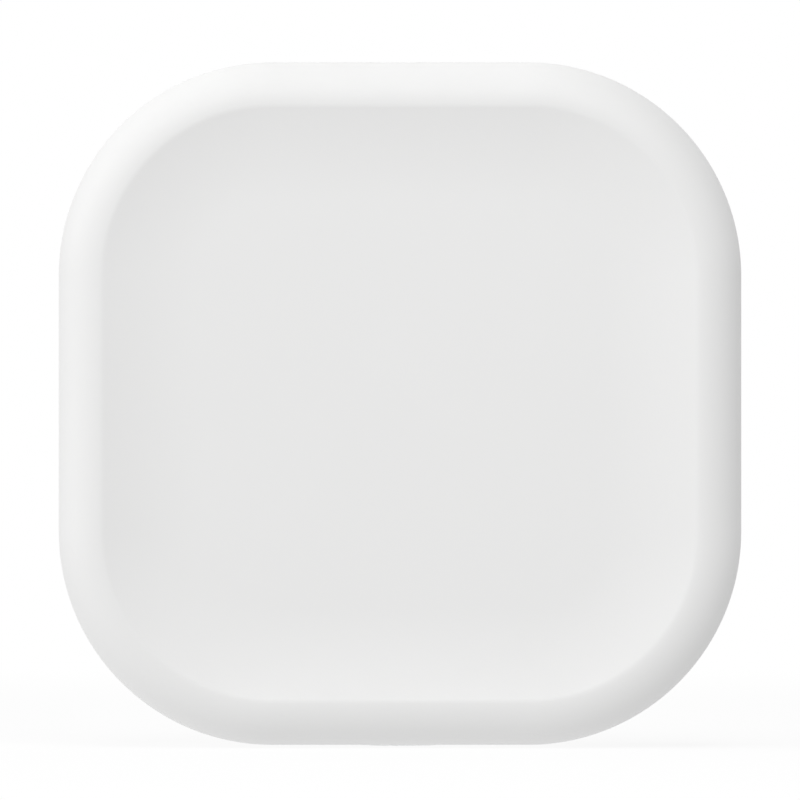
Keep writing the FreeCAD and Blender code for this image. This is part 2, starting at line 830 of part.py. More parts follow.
def power_board():
    body = new_body("power_board")
    outline = rounded("0", "0", "power_half", "power_half", "power_corner")
    board = draw(body, "board_outline", "XZ_Plane", [outline], "power_back")
    pad(body, "board", board, "power_board_thick")
    holes = [(x, z, "pass_radius") for x, z in power_screw_places()]
    holes += blade_loops("blade_thick / 2 + fit_gap", "tail_width / 2 + fit_gap")
    hole_sketch = draw(body, "board_hole_outlines", "XZ_Plane", holes, "power_front")
    pocket(body, "board_holes", hole_sketch)
    pin_hole = ("header_x - header_span / 2", "header_z", "header_pin * 0.75")
    pin_sketch = draw(body, "pin_hole_outline", "XZ_Plane", [pin_hole], "power_front")
    first_hole = pocket(body, "pin_hole", pin_sketch)
    along(body, "pin_holes", [first_hole], "header_span", 6)
    return body


def transformer_core():
    """Two E halves seen as one ring with a centre leg, lying parallel to the board."""
    body = new_body("transformer_core", "transformer_x", "core_middle - core_thick / 2", "transformer_z")
    windows = [
        rectangle(f"{sign}(core_centre_leg + window_width) / 2", "0", "window_width / 2", "window_height / 2")
        for sign in ("-", "")
    ]
    outer = rectangle("0", "0", "core_width / 2", "core_height / 2")
    ring = draw(body, "core_outline", "XZ_Plane", [outer] + windows)
    pad(body, "core", ring, "core_thick")
    return body


def transformer_bobbin():
    """Tube round the centre leg, a flange at each end and a pin rail down to the board."""
    body = new_body("transformer_bobbin", "transformer_x", "core_middle", "transformer_z")
    hole = rectangle("0", "0", "core_centre_leg / 2 + bobbin_gap", "core_thick / 2 + bobbin_gap")
    tube = rectangle("0", "0", "tube_half_x", "tube_half_depth")
    tube_sketch = draw(body, "tube_outline", "XY_Plane", [tube, hole], "-(bobbin_half)")
    pad(body, "tube", tube_sketch, "2 * bobbin_half")
    side = "core_centre_leg / 2 + window_width - bobbin_gap"
    rise = "tube_half_depth + winding_build + bobbin_gap"
    for name, start in (("low", "-(bobbin_half)"), ("high", "bobbin_half - bobbin_flange")):
        loops = [rectangle("0", "0", side, rise), hole]
        flange = draw(body, f"{name}_flange_outline", "XY_Plane", loops, start)
        pad(body, f"{name}_flange", flange, "bobbin_flange")
    foot = f"{rise} + rail_height"
    rails = [
        rectangle("0", f"{sign}(bobbin_half - rail_thick / 2)", "rail_width / 2", "rail_thick / 2")
        for sign in ("-", "")
    ]
    rail_sketch = draw(body, "rail_outlines", "XZ_Plane", rails, f"-({foot})")
    pad(body, "pin_rails", rail_sketch, "rail_height")
    return body


def transformer_winding():
    body = new_body("transformer_winding", "transformer_x", "core_middle", "transformer_z")
    reach = ("tube_half_x + winding_build", "tube_half_depth + winding_build")
    outer = rounded("0", "0", *reach, "winding_round")
    inner = rectangle("0", "0", "tube_half_x", "tube_half_depth")
    half = "bobbin_half - bobbin_flange"
    sketch = draw(body, "winding_outline", "XY_Plane", [outer, inner], f"-({half})")
    pad(body, "winding", sketch, f"2 * ({half})")
    return body


def capacitor(label, x, z):
    """Electrolytic can: rolled bead above its foot and a bevelled top."""
    body = new_body(label, x, "power_front", z)
    bead = "can_foot + can_bead"
    can = [
        ("0", "0"),
        ("0", "-can_height"),
        ("can_radius - can_bevel", "-can_height"),
        ("can_radius", "can_bevel - can_height"),
        ("can_radius", f"-({bead} + can_bead)"),
        ("can_radius - can_bead", f"-({bead})"),
        ("can_radius", "-can_foot"),
        ("can_radius", "0"),
    ]
    profile = draw(body, "can_section", "XY_Plane", [can])
    revolve(body, "can", profile, "V_Axis")
    return body


def varistor():
    """Coated disc standing on edge across X, on two leads."""
    body = new_body("varistor", "varistor_x", "power_front + lead_rise + varistor_radius", "varistor_z")
    disc = [
        ("-(varistor_thick / 2)", "0"),
        ("varistor_thick / 2", "0"),
        ("varistor_thick / 2", "varistor_radius - varistor_bevel"),
        ("varistor_thick / 2 - varistor_bevel", "varistor_radius"),
        ("varistor_bevel - varistor_thick / 2", "varistor_radius"),
        ("-(varistor_thick / 2)", "varistor_radius - varistor_bevel"),
    ]
    profile = draw(body, "disc_section", "XY_Plane", [disc])
    revolve(body, "disc", profile, "H_Axis")
    leads = [("0", f"{sign}lead_spread", "lead_radius") for sign in ("-", "")]
    lead_sketch = draw(body, "lead_outlines", "XZ_Plane", leads, "-(lead_rise + varistor_radius)")
    pad(body, "leads", lead_sketch, "lead_rise + varistor_radius")
    return body


def safety_capacitor():
    body = new_body("safety_capacitor", "film_x", "power_front", "film_z")
    box = draw(body, "film_outline", "XZ_Plane", [rectangle("0", "0", "film_width / 2", "film_length / 2")])
    pad(body, "film_box", box, "film_height")
    blend(body, "PartDesign::Chamfer", "film_edges", "film_bevel", lambda edge: edge.BoundBox.YMax < -1e-4)
    return body


def fuse_resistor():
    """Small barrel lying along X, its two leads bent down to the board."""
    body = new_body("fuse_resistor", "fuse_x", "power_front + fuse_radius", "fuse_z")
    end = "fuse_length / 2"
    barrel = [
        (f"-({end})", "0"),
        (end, "0"),
        (end, "fuse_radius - fuse_bevel"),
        (f"{end} - fuse_bevel", "fuse_radius"),
        (f"fuse_bevel - {end}", "fuse_radius"),
        (f"-({end})", "fuse_radius - fuse_bevel"),
    ]
    profile = draw(body, "barrel_section", "XY_Plane", [barrel])
    revolve(body, "barrel", profile, "H_Axis")
    lead_x = f"{end} + fuse_lead_run"
    bent = [
        (end, "0"),
        (f"{lead_x} - fuse_lead_bend", "0", LEFT, "fuse_lead_bend"),
        (lead_x, "fuse_lead_bend"),
        (lead_x, "fuse_radius"),
    ]
    path = draw_path(body, "lead_path", "XY_Plane", bent)
    section = draw(body, "lead_section", "YZ_Plane", [("0", "0", "lead_radius")], end)
    lead = sweep(body, "lead", section, path)
    mirror(body, "other_lead", [lead])
    return body


def filter_choke():
    """Drum core with its winding filling the waist."""
    body = new_body("filter_choke", "choke_x", "power_front", "choke_z")
    drum = [
        ("0", "0"),
        ("0", "-choke_height"),
        ("choke_radius", "-choke_height"),
        ("choke_radius", "choke_flange - choke_height"),
        ("choke_radius - choke_waist", "choke_flange - choke_height"),
        ("choke_radius - choke_waist", "-choke_flange"),
        ("choke_radius", "-choke_flange"),
        ("choke_radius", "0"),
    ]
    profile = draw(body, "drum_section", "XY_Plane", [drum])
    revolve(body, "drum", profile, "V_Axis")
    return body


def chip(label, name, board_front, lead_half_widths):
    """A moulded chip flat on a board, with leads out of its two Z ends at the given X places."""
    body = new_body(label, f"{name}_x", board_front, f"{name}_z")
    outline = rectangle("0", "0", f"{name}_width / 2", f"{name}_length / 2")
    sketch = draw(body, "chip_outline", "XZ_Plane", [outline], "chip_lead_thick")
    pad(body, "moulding", sketch, f"{name}_height - chip_lead_thick")
    leads = [
        rectangle(place, "0", half_width, f"{name}_length / 2 + chip_lead_reach")
        for place, half_width in lead_half_widths
    ]
    lead_sketch = draw(body, "lead_outlines", "XZ_Plane", leads)
    pad(body, "leads", lead_sketch, "chip_lead_thick * 2")
    return body


# Header between the boards


def header_base():
    body = new_body("header_base", "header_x", "power_front", "header_z")
    outline = rectangle("0", "0", "header_length / 2", "header_width / 2")
    sketch = draw(body, "base_outline", "XZ_Plane", [outline])
    pad(body, "base", sketch, "header_base")
    pin_cavity(body, "header_pin / 2", "header_base", None)
    return body


def header_socket():
    body = new_body("header_socket", "header_x", "socket_back", "header_z")
    outline = rectangle("0", "0", "header_length / 2", "header_width / 2")
    sketch = draw(body, "socket_outline", "XZ_Plane", [outline])
    pad(body, "socket", sketch, "radio_back - socket_back")
    pin_cavity(body, "header_pin / 2 + header_slack", "header_engage + header_slack", "0")
    return body


def pin_cavity(body, half, length, offset):
    """Six square holes: right through, or blind from the side next to the base."""
    start = length if offset is None else offset
    loop = rectangle("-(header_span / 2)", "0", half, half)
    sketch = draw(body, "cavity_outline", "XZ_Plane", [loop], start)
    first = pocket(body, "cavity", sketch, length, backwards=offset is not None)
    return along(body, "cavities", [first], "header_span", 6)


def header_pins():
    body = new_body("header_pins", "header_x", "power_back - header_tail", "header_z")
    half = "header_pin / 2"
    loop = rectangle("-(header_span / 2)", "0", half, half)
    sketch = draw(body, "pin_outline", "XZ_Plane", [loop])
    first = pad(body, "pin", sketch, "header_tail + power_board_thick + header_base + header_engage")
    along(body, "pins", [first], "header_span", 6)
    return body


# Radio board


def radio_board():
    body = new_body("radio_board")
    low, high = "-(switch_face)", "-radio_top"
    side, big, small = "radio_half", "radio_low_round", "radio_top_round"
    outline = [
        (f"{big} - ({side})", low),
        (f"{side} - {big}", low, LEFT, big),
        (side, f"{low} + {big}"),
        (side, f"{high} - {small}", LEFT, small),
        (f"{side} - {small}", high),
        (f"{small} - ({side})", high, LEFT, small),
        (f"-({side})", f"{high} - {small}"),
        (f"-({side})", f"{low} + {big}", LEFT, big),
    ]
    board = draw(body, "board_outline", "XZ_Plane", [outline], "radio_back")
    pad(body, "board", board, "radio_board_thick")
    holes = [(f"{sign}radio_screw_x", "-radio_screw_z", "pass_radius") for sign in ("-", "")]
    hole_sketch = draw(body, "board_hole_outlines", "XZ_Plane", holes, "radio_front")
    pocket(body, "board_holes", hole_sketch)
    return body


def radio_module_board():
    body = new_body("radio_module_board", "module_x", "radio_front", "module_z")
    outline = rounded("0", "0", "module_width / 2", "module_height / 2", "module_round")
    sketch = draw(body, "module_outline", "XZ_Plane", [outline])
    pad(body, "module", sketch, "module_thick")
    return body


def shield_can():
    """Drawn sheet lid, open towards the module board."""
    body = new_body("shield_can", "shield_x", "module_front", "module_z")
    outer = rounded("0", "0", "shield_width / 2", "shield_height / 2", "shield_round")
    outer_sketch = draw(body, "can_outline", "XZ_Plane", [outer])
    pad(body, "can", outer_sketch, "shield_rise")
    inner = rectangle("0", "0", "shield_width / 2 - shield_sheet", "shield_height / 2 - shield_sheet")
    inner_sketch = draw(body, "room_outline", "XZ_Plane", [inner])
    pocket(body, "room", inner_sketch, "shield_rise - shield_sheet", backwards=True)
    return body


def antenna():
    """Meander strip on the module's free end, three fingers joined at alternate ends."""
    body = new_body("antenna", "antenna_x", "module_front", "module_z")
    half = "antenna_track / 2"
    reach = "antenna_reach"
    step = "antenna_pitch"
    strip = [
        (f"-({step}) - ({half})", f"-({reach})"),
        (f"-({step}) + ({half})", f"-({reach})"),
        (f"-({step}) + ({half})", f"{reach} - 2 * ({half})"),
        (f"-({half})", f"{reach} - 2 * ({half})"),
        (f"-({half})", f"-({reach})"),
        (f"{step} + {half}", f"-({reach})"),
        (f"{step} + {half}", reach),
        (f"{step} - {half}", reach),
        (f"{step} - {half}", f"2 * ({half}) - {reach}"),
        (half, f"2 * ({half}) - {reach}"),
        (half, reach),
        (f"-({step}) - ({half})", reach),
    ]
    sketch = draw(body, "strip_outline", "XZ_Plane", [strip])
    pad(body, "strip", sketch, "antenna_thick")
    return body


def crystal():
    body = new_body("crystal", "crystal_x", "radio_front", "crystal_z")
    outline = rounded("0", "0", "crystal_width / 2", "crystal_length / 2", "crystal_round")
    sketch = draw(body, "crystal_outline", "XZ_Plane", [outline])
    pad(body, "crystal_can", sketch, "crystal_height")
    return body


def status_led():
    """Lamp on the radio board's back, beside the switch, that lights the button."""
    body = new_body("status_led", "led_x", "radio_back", "led_height / 2 - switch_face")
    base = rectangle("0", "0", "led_width / 2", "led_height / 2")
    base_sketch = draw(body, "lamp_outline", "XZ_Plane", [base])
    pad(body, "lamp_base", base_sketch, "led_rise / 2", backwards=True)
    lens = rounded("0", "0", "led_width / 3", "led_height / 3", "led_lens_round")
    lens_sketch = draw(body, "lens_outline", "XZ_Plane", [lens], "-(led_rise / 2)")
    pad(body, "lens", lens_sketch, "led_rise / 2", backwards=True)
    return body


# Side-push switch


def switch_housing():
    body = new_body("switch_housing", "0", "button_depth", "-(switch_face)")
    block = rectangle("0", "0", "switch_width / 2", "switch_depth / 2")
    block_sketch = draw(body, "switch_outline", "XY_Plane", [block])
    pad(body, "switch_block", block_sketch, "switch_height")
    mouth = rectangle("0", "0", "plunger_half_width + plunger_gap", "plunger_half_depth + plunger_gap")
    mouth_sketch = draw(body, "mouth_outline", "XY_Plane", [mouth])
    pocket(body, "mouth", mouth_sketch, "switch_lid", backwards=True)
    room = rectangle("0", "0", "switch_room_half_width", "switch_room_half_depth")
    room_sketch = draw(body, "room_outline", "XY_Plane", [room], "switch_lid")
    pocket(body, "room", room_sketch, "switch_room", backwards=True)
    return body


def switch_plunger():
    """Push piece kept in by its lip, with a nub that bears on the dome."""
    body = new_body("switch_plunger", "0", "button_depth", "-(switch_face)")
    head = rectangle("0", "0", "plunger_half_width", "plunger_half_depth")
    head_sketch = draw(body, "head_outline", "XY_Plane", [head], "-plunger_reach")
    pad(body, "head", head_sketch, "plunger_reach + switch_lid")
    lip = rectangle("0", "0", "plunger_half_width + plunger_lip", "plunger_half_depth + plunger_lip")
    lip_sketch = draw(body, "lip_outline", "XY_Plane", [lip], "switch_lid")
    pad(body, "lip", lip_sketch, "plunger_base")
    circle = ("0", "0", "plunger_nub_radius")
    nub = draw(body, "nub_outline", "XY_Plane", [circle], "switch_lid + plunger_base")
    pad(body, "nub", nub, "plunger_nub")
    return body


def switch_dome():
    """Snap dome: a thin cap of a sphere, its rim on the floor of the switch."""
    body = new_body("switch_dome", "0", "button_depth", "-(dome_base)")
    rise = "switch_room - plunger_base - plunger_nub"
    ball = f"(dome_radius^2 + ({rise})^2) / (2 * ({rise}))"
    inner = f"sqrt(({ball} - dome_sheet)^2 - ({ball} - ({rise}))^2)"
    cap = [
        ("0", f"-({rise})"),
        ("0", f"dome_sheet - ({rise})", LEFT, f"{ball} - dome_sheet"),
        (inner, "0"),
        ("dome_radius", "0", RIGHT, ball),
    ]
    profile = draw(body, "dome_section", "XZ_Plane", [cap])
    revolve(body, "dome", profile, "V_Axis")
    return body


def switch_terminals():
    """Two solder tabs at each side of the switch, on the board."""
    body = new_body("switch_terminals", "0", "radio_back", "-(switch_face)")
    tabs = [
        rectangle(f"{side}(switch_width + terminal_reach) / 2", f"switch_height / 2 {end} terminal_offset",
                  "terminal_reach / 2", "terminal_width / 2")
        for side in ("-", "")
        for end in ("-", "+")
    ]
    sketch = draw(body, "tab_outlines", "XZ_Plane", tabs)
    pad(body, "tabs", sketch, "terminal_thick", backwards=True)
    return body


def chip_parts(label, depth, places):
    """Small chip resistors and capacitors, each centred at its (x, z)."""
    body = new_body(label, "0", depth, "0")
    parts = [rectangle(x, z, "passive_length / 2", "passive_width / 2") for x, z in places]
    sketch = draw(body, "part_outlines", "XZ_Plane", parts)
    pad(body, "parts", sketch, "passive_height")
    return body


def power_chip_places():
    """Round the controller and under the diode."""
    lead_end = "controller_length / 2 + chip_lead_reach + passive_gap + passive_width / 2"
    return [
        ("controller_x - passive_length", f"controller_z - ({lead_end})"),
        ("controller_x + passive_length", f"controller_z - ({lead_end})"),
        ("controller_x", f"controller_z + {lead_end}"),
        ("controller_x + controller_width / 2 + passive_gap + passive_length / 2", "controller_z"),
        ("diode_x", "diode_z - diode_length / 2 - chip_lead_reach - passive_gap - passive_width / 2"),
    ]


def radio_chip_places():
    """Beside the crystal and round the module."""
    crystal_end = "crystal_length / 2 + passive_gap + passive_width / 2"
    module_side = "module_x - module_width / 2 - passive_gap - passive_length / 2"
    return [
        ("crystal_x", f"crystal_z + {crystal_end}"),
        ("crystal_x", f"crystal_z - ({crystal_end})"),
        (module_side, "module_z - passive_width"),
        (module_side, "module_z + passive_width"),
        ("module_x", "module_z + module_height / 2 + passive_gap + passive_width / 2"),
    ]


def screws():
    made = []
    for index, (x, z) in enumerate(power_screw_places(), 1):
        made.append(screw(f"power_screw_{index}", x, "power_front", z, "screw_grip"))
    for index, sign in enumerate(("-", ""), 1):
        made.append(screw(f"carrier_screw_{index}", "0", "carrier_front", f"{sign}ear_reach",
                          "carrier_screw_grip"))
        made.append(screw(f"radio_screw_{index}", f"{sign}radio_screw_x", "radio_back", "-radio_screw_z",
                          "screw_grip", turn=180))
    return made


def row_of_leads(pitch, count, half_width):
    first = -(count - 1) / 2
    return [(f"{first + step} * {pitch}", half_width) for step in range(count)]


def build():
    wide_lead = "passive_width / 2"
    fine_lead = "passive_width / 4"
    parts = [
        front_shell(),
        back_cover(),
        action_button(),
        blade("blade_left", "-"),
        blade("blade_right", ""),
        blade_carrier(),
        power_board(),
        transformer_core(),
        transformer_bobbin(),
        transformer_winding(),
        capacitor("input_capacitor_1", "can_1_x", "can_1_z"),
        capacitor("input_capacitor_2", "can_2_x", "can_2_z"),
        capacitor("output_capacitor", "can_3_x", "can_3_z"),
        varistor(),
        safety_capacitor(),
        fuse_resistor(),
        filter_choke(),
        chip("bridge_rectifier", "bridge", "power_front", row_of_leads("(bridge_width / 2)", 2, wide_lead)),
        chip("switching_controller", "controller", "power_front",
             row_of_leads("(controller_width / 4)", 4, fine_lead)),
        chip("output_diode", "diode", "power_front", row_of_leads("0", 1, wide_lead)),
        header_base(),
        header_pins(),
        header_socket(),
        radio_board(),
        radio_module_board(),
        shield_can(),
        antenna(),
        crystal(),
        chip("voltage_regulator", "regulator", "radio_front",
             row_of_leads("(regulator_width / 3)", 3, fine_lead)),
        status_led(),
        switch_housing(),
        switch_plunger(),
        switch_dome(),
        switch_terminals(),
        chip_parts("power_chip_parts", "power_front", power_chip_places()),
        chip_parts("radio_chip_parts", "radio_front", radio_chip_places()),
    ]
    return parts + screws()


def check(parts):
    doc.recompute()
    for item in doc.Objects:
        if "Invalid" in item.State or "Error" in item.State:
            raise RuntimeError(f"{item.Label} is {item.State}")
    for part in parts:
        if part.Shape.isNull() or not part.Shape.isValid() or part.Shape.Volume <= 0:
            raise RuntimeError(f"{part.Label} has no valid solid")


sub_parts = build()
check(sub_parts)
os.makedirs("parts", exist_ok=True)
for sub_part in sub_parts:
    sub_part.Shape.exportStep(f"parts/{sub_part.Label}.step")
    print(f"{sub_part.Label}: {sub_part.Shape.Volume:.1f} mm3, {len(sub_part.Shape.Solids)} solid(s)")
print(f"housing {number('body_side'):.2f} square, {number('body_depth'):.2f} deep")
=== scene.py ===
"""Looks of a plug-in range extender for a home mesh network.

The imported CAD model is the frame. Every piece is placed from it, in metres, with
X to the right of the front face, Z up and the front facing -Y. A depth is a
distance in front of the wall plane Y = 0.
"""

import json
import logging
import math
from dataclasses import dataclass
from enum import Enum

import bmesh
import bpy
from mathutils import Matrix, Vector


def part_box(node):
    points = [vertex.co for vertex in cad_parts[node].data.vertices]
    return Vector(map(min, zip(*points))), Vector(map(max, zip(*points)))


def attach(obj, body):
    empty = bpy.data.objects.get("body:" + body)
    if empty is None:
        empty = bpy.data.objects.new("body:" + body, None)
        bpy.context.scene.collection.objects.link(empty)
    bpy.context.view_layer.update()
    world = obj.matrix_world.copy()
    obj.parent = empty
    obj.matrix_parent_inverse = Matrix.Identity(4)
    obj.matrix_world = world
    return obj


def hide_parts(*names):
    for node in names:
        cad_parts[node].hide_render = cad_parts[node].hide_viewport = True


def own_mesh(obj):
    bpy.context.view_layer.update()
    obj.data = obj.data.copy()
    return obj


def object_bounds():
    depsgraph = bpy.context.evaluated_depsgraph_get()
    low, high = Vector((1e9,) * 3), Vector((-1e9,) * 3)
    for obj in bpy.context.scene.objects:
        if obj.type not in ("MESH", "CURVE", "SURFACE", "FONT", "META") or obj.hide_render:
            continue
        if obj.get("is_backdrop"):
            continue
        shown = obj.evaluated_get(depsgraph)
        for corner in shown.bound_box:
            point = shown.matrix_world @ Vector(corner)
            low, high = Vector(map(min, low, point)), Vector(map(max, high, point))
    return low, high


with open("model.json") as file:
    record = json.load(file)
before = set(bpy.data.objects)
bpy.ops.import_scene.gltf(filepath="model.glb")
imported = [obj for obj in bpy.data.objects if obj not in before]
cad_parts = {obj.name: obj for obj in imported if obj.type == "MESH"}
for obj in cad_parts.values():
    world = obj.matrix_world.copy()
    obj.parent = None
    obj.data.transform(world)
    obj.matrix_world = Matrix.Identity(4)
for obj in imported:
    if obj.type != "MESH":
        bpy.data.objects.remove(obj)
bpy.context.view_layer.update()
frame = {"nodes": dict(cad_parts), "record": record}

LOG = logging.getLogger("extender")
MM = 0.001
TINY = 1e-9
Colour = tuple[float, float, float]
Piece, Material = bpy.types.Object, bpy.types.Material
Tree, Node, Socket = bpy.types.NodeTree, bpy.types.Node, bpy.types.NodeSocket


class Body(Enum):
    """The CAD bodies that pieces ride on."""

    CASE = "case"
    BUTTON = "button"


class Effect(Enum):
    """Surface effects that several finishes share, each one node group."""

    GRAIN = "Mould grain"
    WEAR = "Edge wear"
    SCRATCHES = "Handling scratches"
    DUST = "Dust film"
    DRAWN = "Drawn lines"
    TRACKS = "Copper tracks"


class NodeSheet:
    """One node tree, with short calls that add and join its nodes."""

    def __init__(self, tree: Tree) -> None:
        """Keeps the tree that nodes are added to."""
        self.tree = tree

    def add(self, kind: str, inputs: dict | None = None, **settings: object) -> Node:
        """Adds a node, sets it up and feeds it.

        Args:
            kind: The node's type without its "ShaderNode" prefix.
            inputs: What goes into each input, by its name or number.
            settings: The node's own properties, such as its operation.

        Returns:
            The new node.
        """
        node = self.tree.nodes.new("ShaderNode" + kind)
        for name, value in settings.items():
            setattr(node, name, value)
        return self.feed(node, inputs or {})

    def feed(self, node: Node, inputs: dict) -> Node:
        """Joins or sets a node's inputs.

        Args:
            node: The node to feed.
            inputs: A socket to join or a plain value, by input name or number.

        Returns:
            The same node.
        """
        for name, value in inputs.items():
            socket = node.inputs[name]
            if isinstance(value, Socket):
                self.tree.links.new(value, socket)
            elif isinstance(value, tuple) and socket.type == "RGBA":
                socket.default_value = (*value, 1.0)
            else:
                socket.default_value = value
        return node

    def sum(self, kind: str, first: object, second: object = 0.0, clamp: bool = False) -> Socket:
        """Works out one number from two sockets or numbers, by a Math node's operation."""
        node = self.add("Math", {0: first, 1: second}, operation=kind, use_clamp=clamp)
        return node.outputs[0]

    def span(self, value: object, low: float, high: float, start: float = 0.0, end: float = 1.0) -> Socket:
        """Stretches a value from one range to another, smoothly and clamped.

        Args:
            value: The socket to stretch.
            low: The value that gives start.
            high: The value that gives end.
            start: The result at low.
            end: The result at high.

        Returns:
            The stretched value's socket.
        """
        feeds = {"Value": value, "From Min": low, "From Max": high, "To Min": start, "To Max": end}
        node = self.add("MapRange", feeds, interpolation_type="SMOOTHSTEP", clamp=True)
        return node.outputs["Result"]

    def noise(self, place: object, scale: object, detail: float = 2.0, twist: float = 0.0) -> Socket:
        """Adds soft noise, near 0.5 on average, whose scale is how many lumps fit in a metre."""
        feeds = {"Vector": place, "Scale": scale, "Detail": detail, "Distortion": twist}
        return self.add("TexNoise", feeds).outputs["Fac"]

    def spread(self, noise: Socket) -> Socket:
        """Stretches noise, which mostly keeps between 0.3 and 0.7, over the whole range."""
        return self.span(noise, 0.3, 0.7)

    def between(self, share: Socket, start: float, end: float) -> Socket:
        """Stretches a share from 0 to 1 over the range from start to end."""
        return self.span(share, 0.0, 1.0, start, end)

    def mix(self, share: object, first: object, second: object) -> Socket:
        """Mixes two colours.

        Args:
            share: How much of the second colour shows.
            first: A colour or its socket.
            second: A colour or its socket.

        Returns:
            The mixed colour's socket.
        """
        node = self.add("Mix", data_type="RGBA")
        for number, value in ((0, share), (6, first), (7, second)):
            self.feed(node, {number: value})
        return node.outputs[2]

    def within(self, value: object, middle: float, half: float, soft: float) -> Socket:
        """Gives 1 within half of a middle value and 0 outside, with a soft edge."""
        off = self.sum("ABSOLUTE", self.sum("SUBTRACT", value, middle))
        return self.span(off, half - soft, half, 1.0, 0.0)

    def stretch(self, place: object, by: tuple) -> Socket:
        """Scales coordinates by a different number on each axis."""
        node = self.add("VectorMath", {0: place, 1: by}, operation="MULTIPLY")
        return node.outputs[0]

    def parts_of(self, vector: object) -> list[Socket]:
        """Splits a vector into its X, Y and Z."""
        return list(self.add("SeparateXYZ", {0: vector}).outputs)


class EffectShelf:
    """Builds each shared node group once and hands it out."""

    def __init__(self) -> None:
        """Starts with no group built."""
        self.built: dict[Effect, Tree] = {}

    def get(self, effect: Effect) -> Tree:
        """Gives an effect's node group, building it the first time.

        Args:
            effect: The effect that is wanted.

        Returns:
            Its node group.
        """
        if effect not in self.built:
            maker = {
                Effect.GRAIN: self.grain,
                Effect.WEAR: self.wear,
                Effect.SCRATCHES: self.scratches,
                Effect.DUST: self.dust,
                Effect.DRAWN: self.drawn,
                Effect.TRACKS: self.tracks,
            }[effect]
            self.built[effect] = maker()
        return self.built[effect]

    @staticmethod
    def open_group(effect: Effect, inputs: dict[str, object], outputs: tuple[str, ...]) -> tuple:
        """Starts a group with a place, other named inputs and named outputs.

        Args:
            effect: The effect, which names the group.
            inputs: Each other input's default, a number or a vector, by its name.
            outputs: The names of the values that it puts out.

        Returns:
            The sheet to build on, the group's input node and its output node.
        """
        tree = bpy.data.node_groups.new(effect.value, "ShaderNodeTree")
        for label, value in {"Place": (0.0, 0.0, 0.0), **inputs}.items():
            kind = "NodeSocketVector" if isinstance(value, tuple) else "NodeSocketFloat"
            socket = tree.interface.new_socket(label, in_out="INPUT", socket_type=kind)
            socket.default_value = value
        for label in outputs:
            tree.interface.new_socket(label, in_out="OUTPUT", socket_type="NodeSocketFloat")
        return NodeSheet(tree), tree.nodes.new("NodeGroupInput"), tree.nodes.new("NodeGroupOutput")

    def grain(self) -> Tree:
        """Spark-eroded mould texture with slow changes of tone and gloss.

        Returns:
            The group, with Height, Tone and Gloss.
        """
        inputs = {"Pits per Metre": 7000.0, "Flow per Metre": 60.0}
        sheet, source, sink = self.open_group(Effect.GRAIN, inputs, ("Height", "Tone", "Gloss"))
        place = source.outputs["Place"]
        pits, flow = source.outputs["Pits per Metre"], source.outputs["Flow per Metre"]
        fine = sheet.noise(place, pits, 2.0)
        coarse_scale = sheet.sum("MULTIPLY", pits, 0.45)
        cells = sheet.add("TexVoronoi", {"Vector": place, "Scale": coarse_scale}, feature="SMOOTH_F1")
        weighted = sheet.sum("MULTIPLY", cells.outputs["Distance"], 0.5)
        height = sheet.sum("MULTIPLY_ADD", fine, 0.6)
        sheet.feed(height.node, {2: weighted})
        tone = sheet.spread(sheet.noise(place, flow, 3.0, 0.4))
        gloss_scale = sheet.sum("MULTIPLY", flow, 5.0)
        gloss = sheet.spread(sheet.noise(place, gloss_scale, 4.0))
        sheet.feed(sink, {"Height": height, "Tone": tone, "Gloss": gloss})
        return sheet.tree

    def wear(self) -> Tree:
        """Edges rubbed by handling, broken up by noise.

        Returns:
            The group, with Mask.
        """
        inputs = {"Radius": 0.0003, "Breaks per Metre": 900.0, "Amount": 1.0}
        sheet, source, sink = self.open_group(Effect.WEAR, inputs, ("Mask",))
        rounded = sheet.add("Bevel", {"Radius": source.outputs["Radius"]}, samples=4)
        plain = sheet.add("NewGeometry")
        sides = {0: rounded.outputs[0], 1: plain.outputs["Normal"]}
        turned = sheet.add("VectorMath", sides, operation="DOT_PRODUCT")
        bend = sheet.sum("SUBTRACT", 1.0, turned.outputs["Value"])
        edge = sheet.span(bend, 0.01, 0.16)
        breaks = sheet.noise(source.outputs["Place"], source.outputs["Breaks per Metre"], 4.0)
        broken = sheet.sum("MULTIPLY", edge, sheet.span(breaks, 0.35, 0.62))
        mask = sheet.sum("MULTIPLY", broken, source.outputs["Amount"], clamp=True)
        sheet.feed(sink, {"Mask": mask})
        return sheet.tree

    def scratches(self) -> Tree:
        """Hairline scratches along one direction, in scattered patches.

        Returns:
            The group, with Mask.
        """
        inputs = {"Stretch": (900.0, 60.0, 900.0), "Patches per Metre": 90.0}
        sheet, source, sink = self.open_group(Effect.SCRATCHES, inputs, ("Mask",))
        place = source.outputs["Place"]
        streak = sheet.noise(sheet.stretch(place, source.outputs["Stretch"]), 1.0, 3.0, 0.6)
        line = sheet.within(streak, 0.5, 0.018, 0.018)
        patch = sheet.span(sheet.noise(place, source.outputs["Patches per Metre"], 2.0), 0.5, 0.66)
        sheet.feed(sink, {"Mask": sheet.sum("MULTIPLY", line, patch)})
        return sheet.tree

    def dust(self) -> Tree:
        """Fine dust that settles on faces turned up.

        Returns:
            The group, with Mask.
        """
        inputs = {"Lumps per Metre": 400.0, "Amount": 0.1}
        sheet, source, sink = self.open_group(Effect.DUST, inputs, ("Mask",))
        upward = sheet.parts_of(sheet.add("NewGeometry").outputs["Normal"])[2]
        lying = sheet.span(upward, 0.55, 1.0)
        spots = sheet.noise(source.outputs["Place"], source.outputs["Lumps per Metre"], 5.0)
        specks = sheet.span(spots, 0.35, 0.7)
        mask = sheet.sum("MULTIPLY", sheet.sum("MULTIPLY", lying, specks), source.outputs["Amount"])
        sheet.feed(sink, {"Mask": mask})
        return sheet.tree

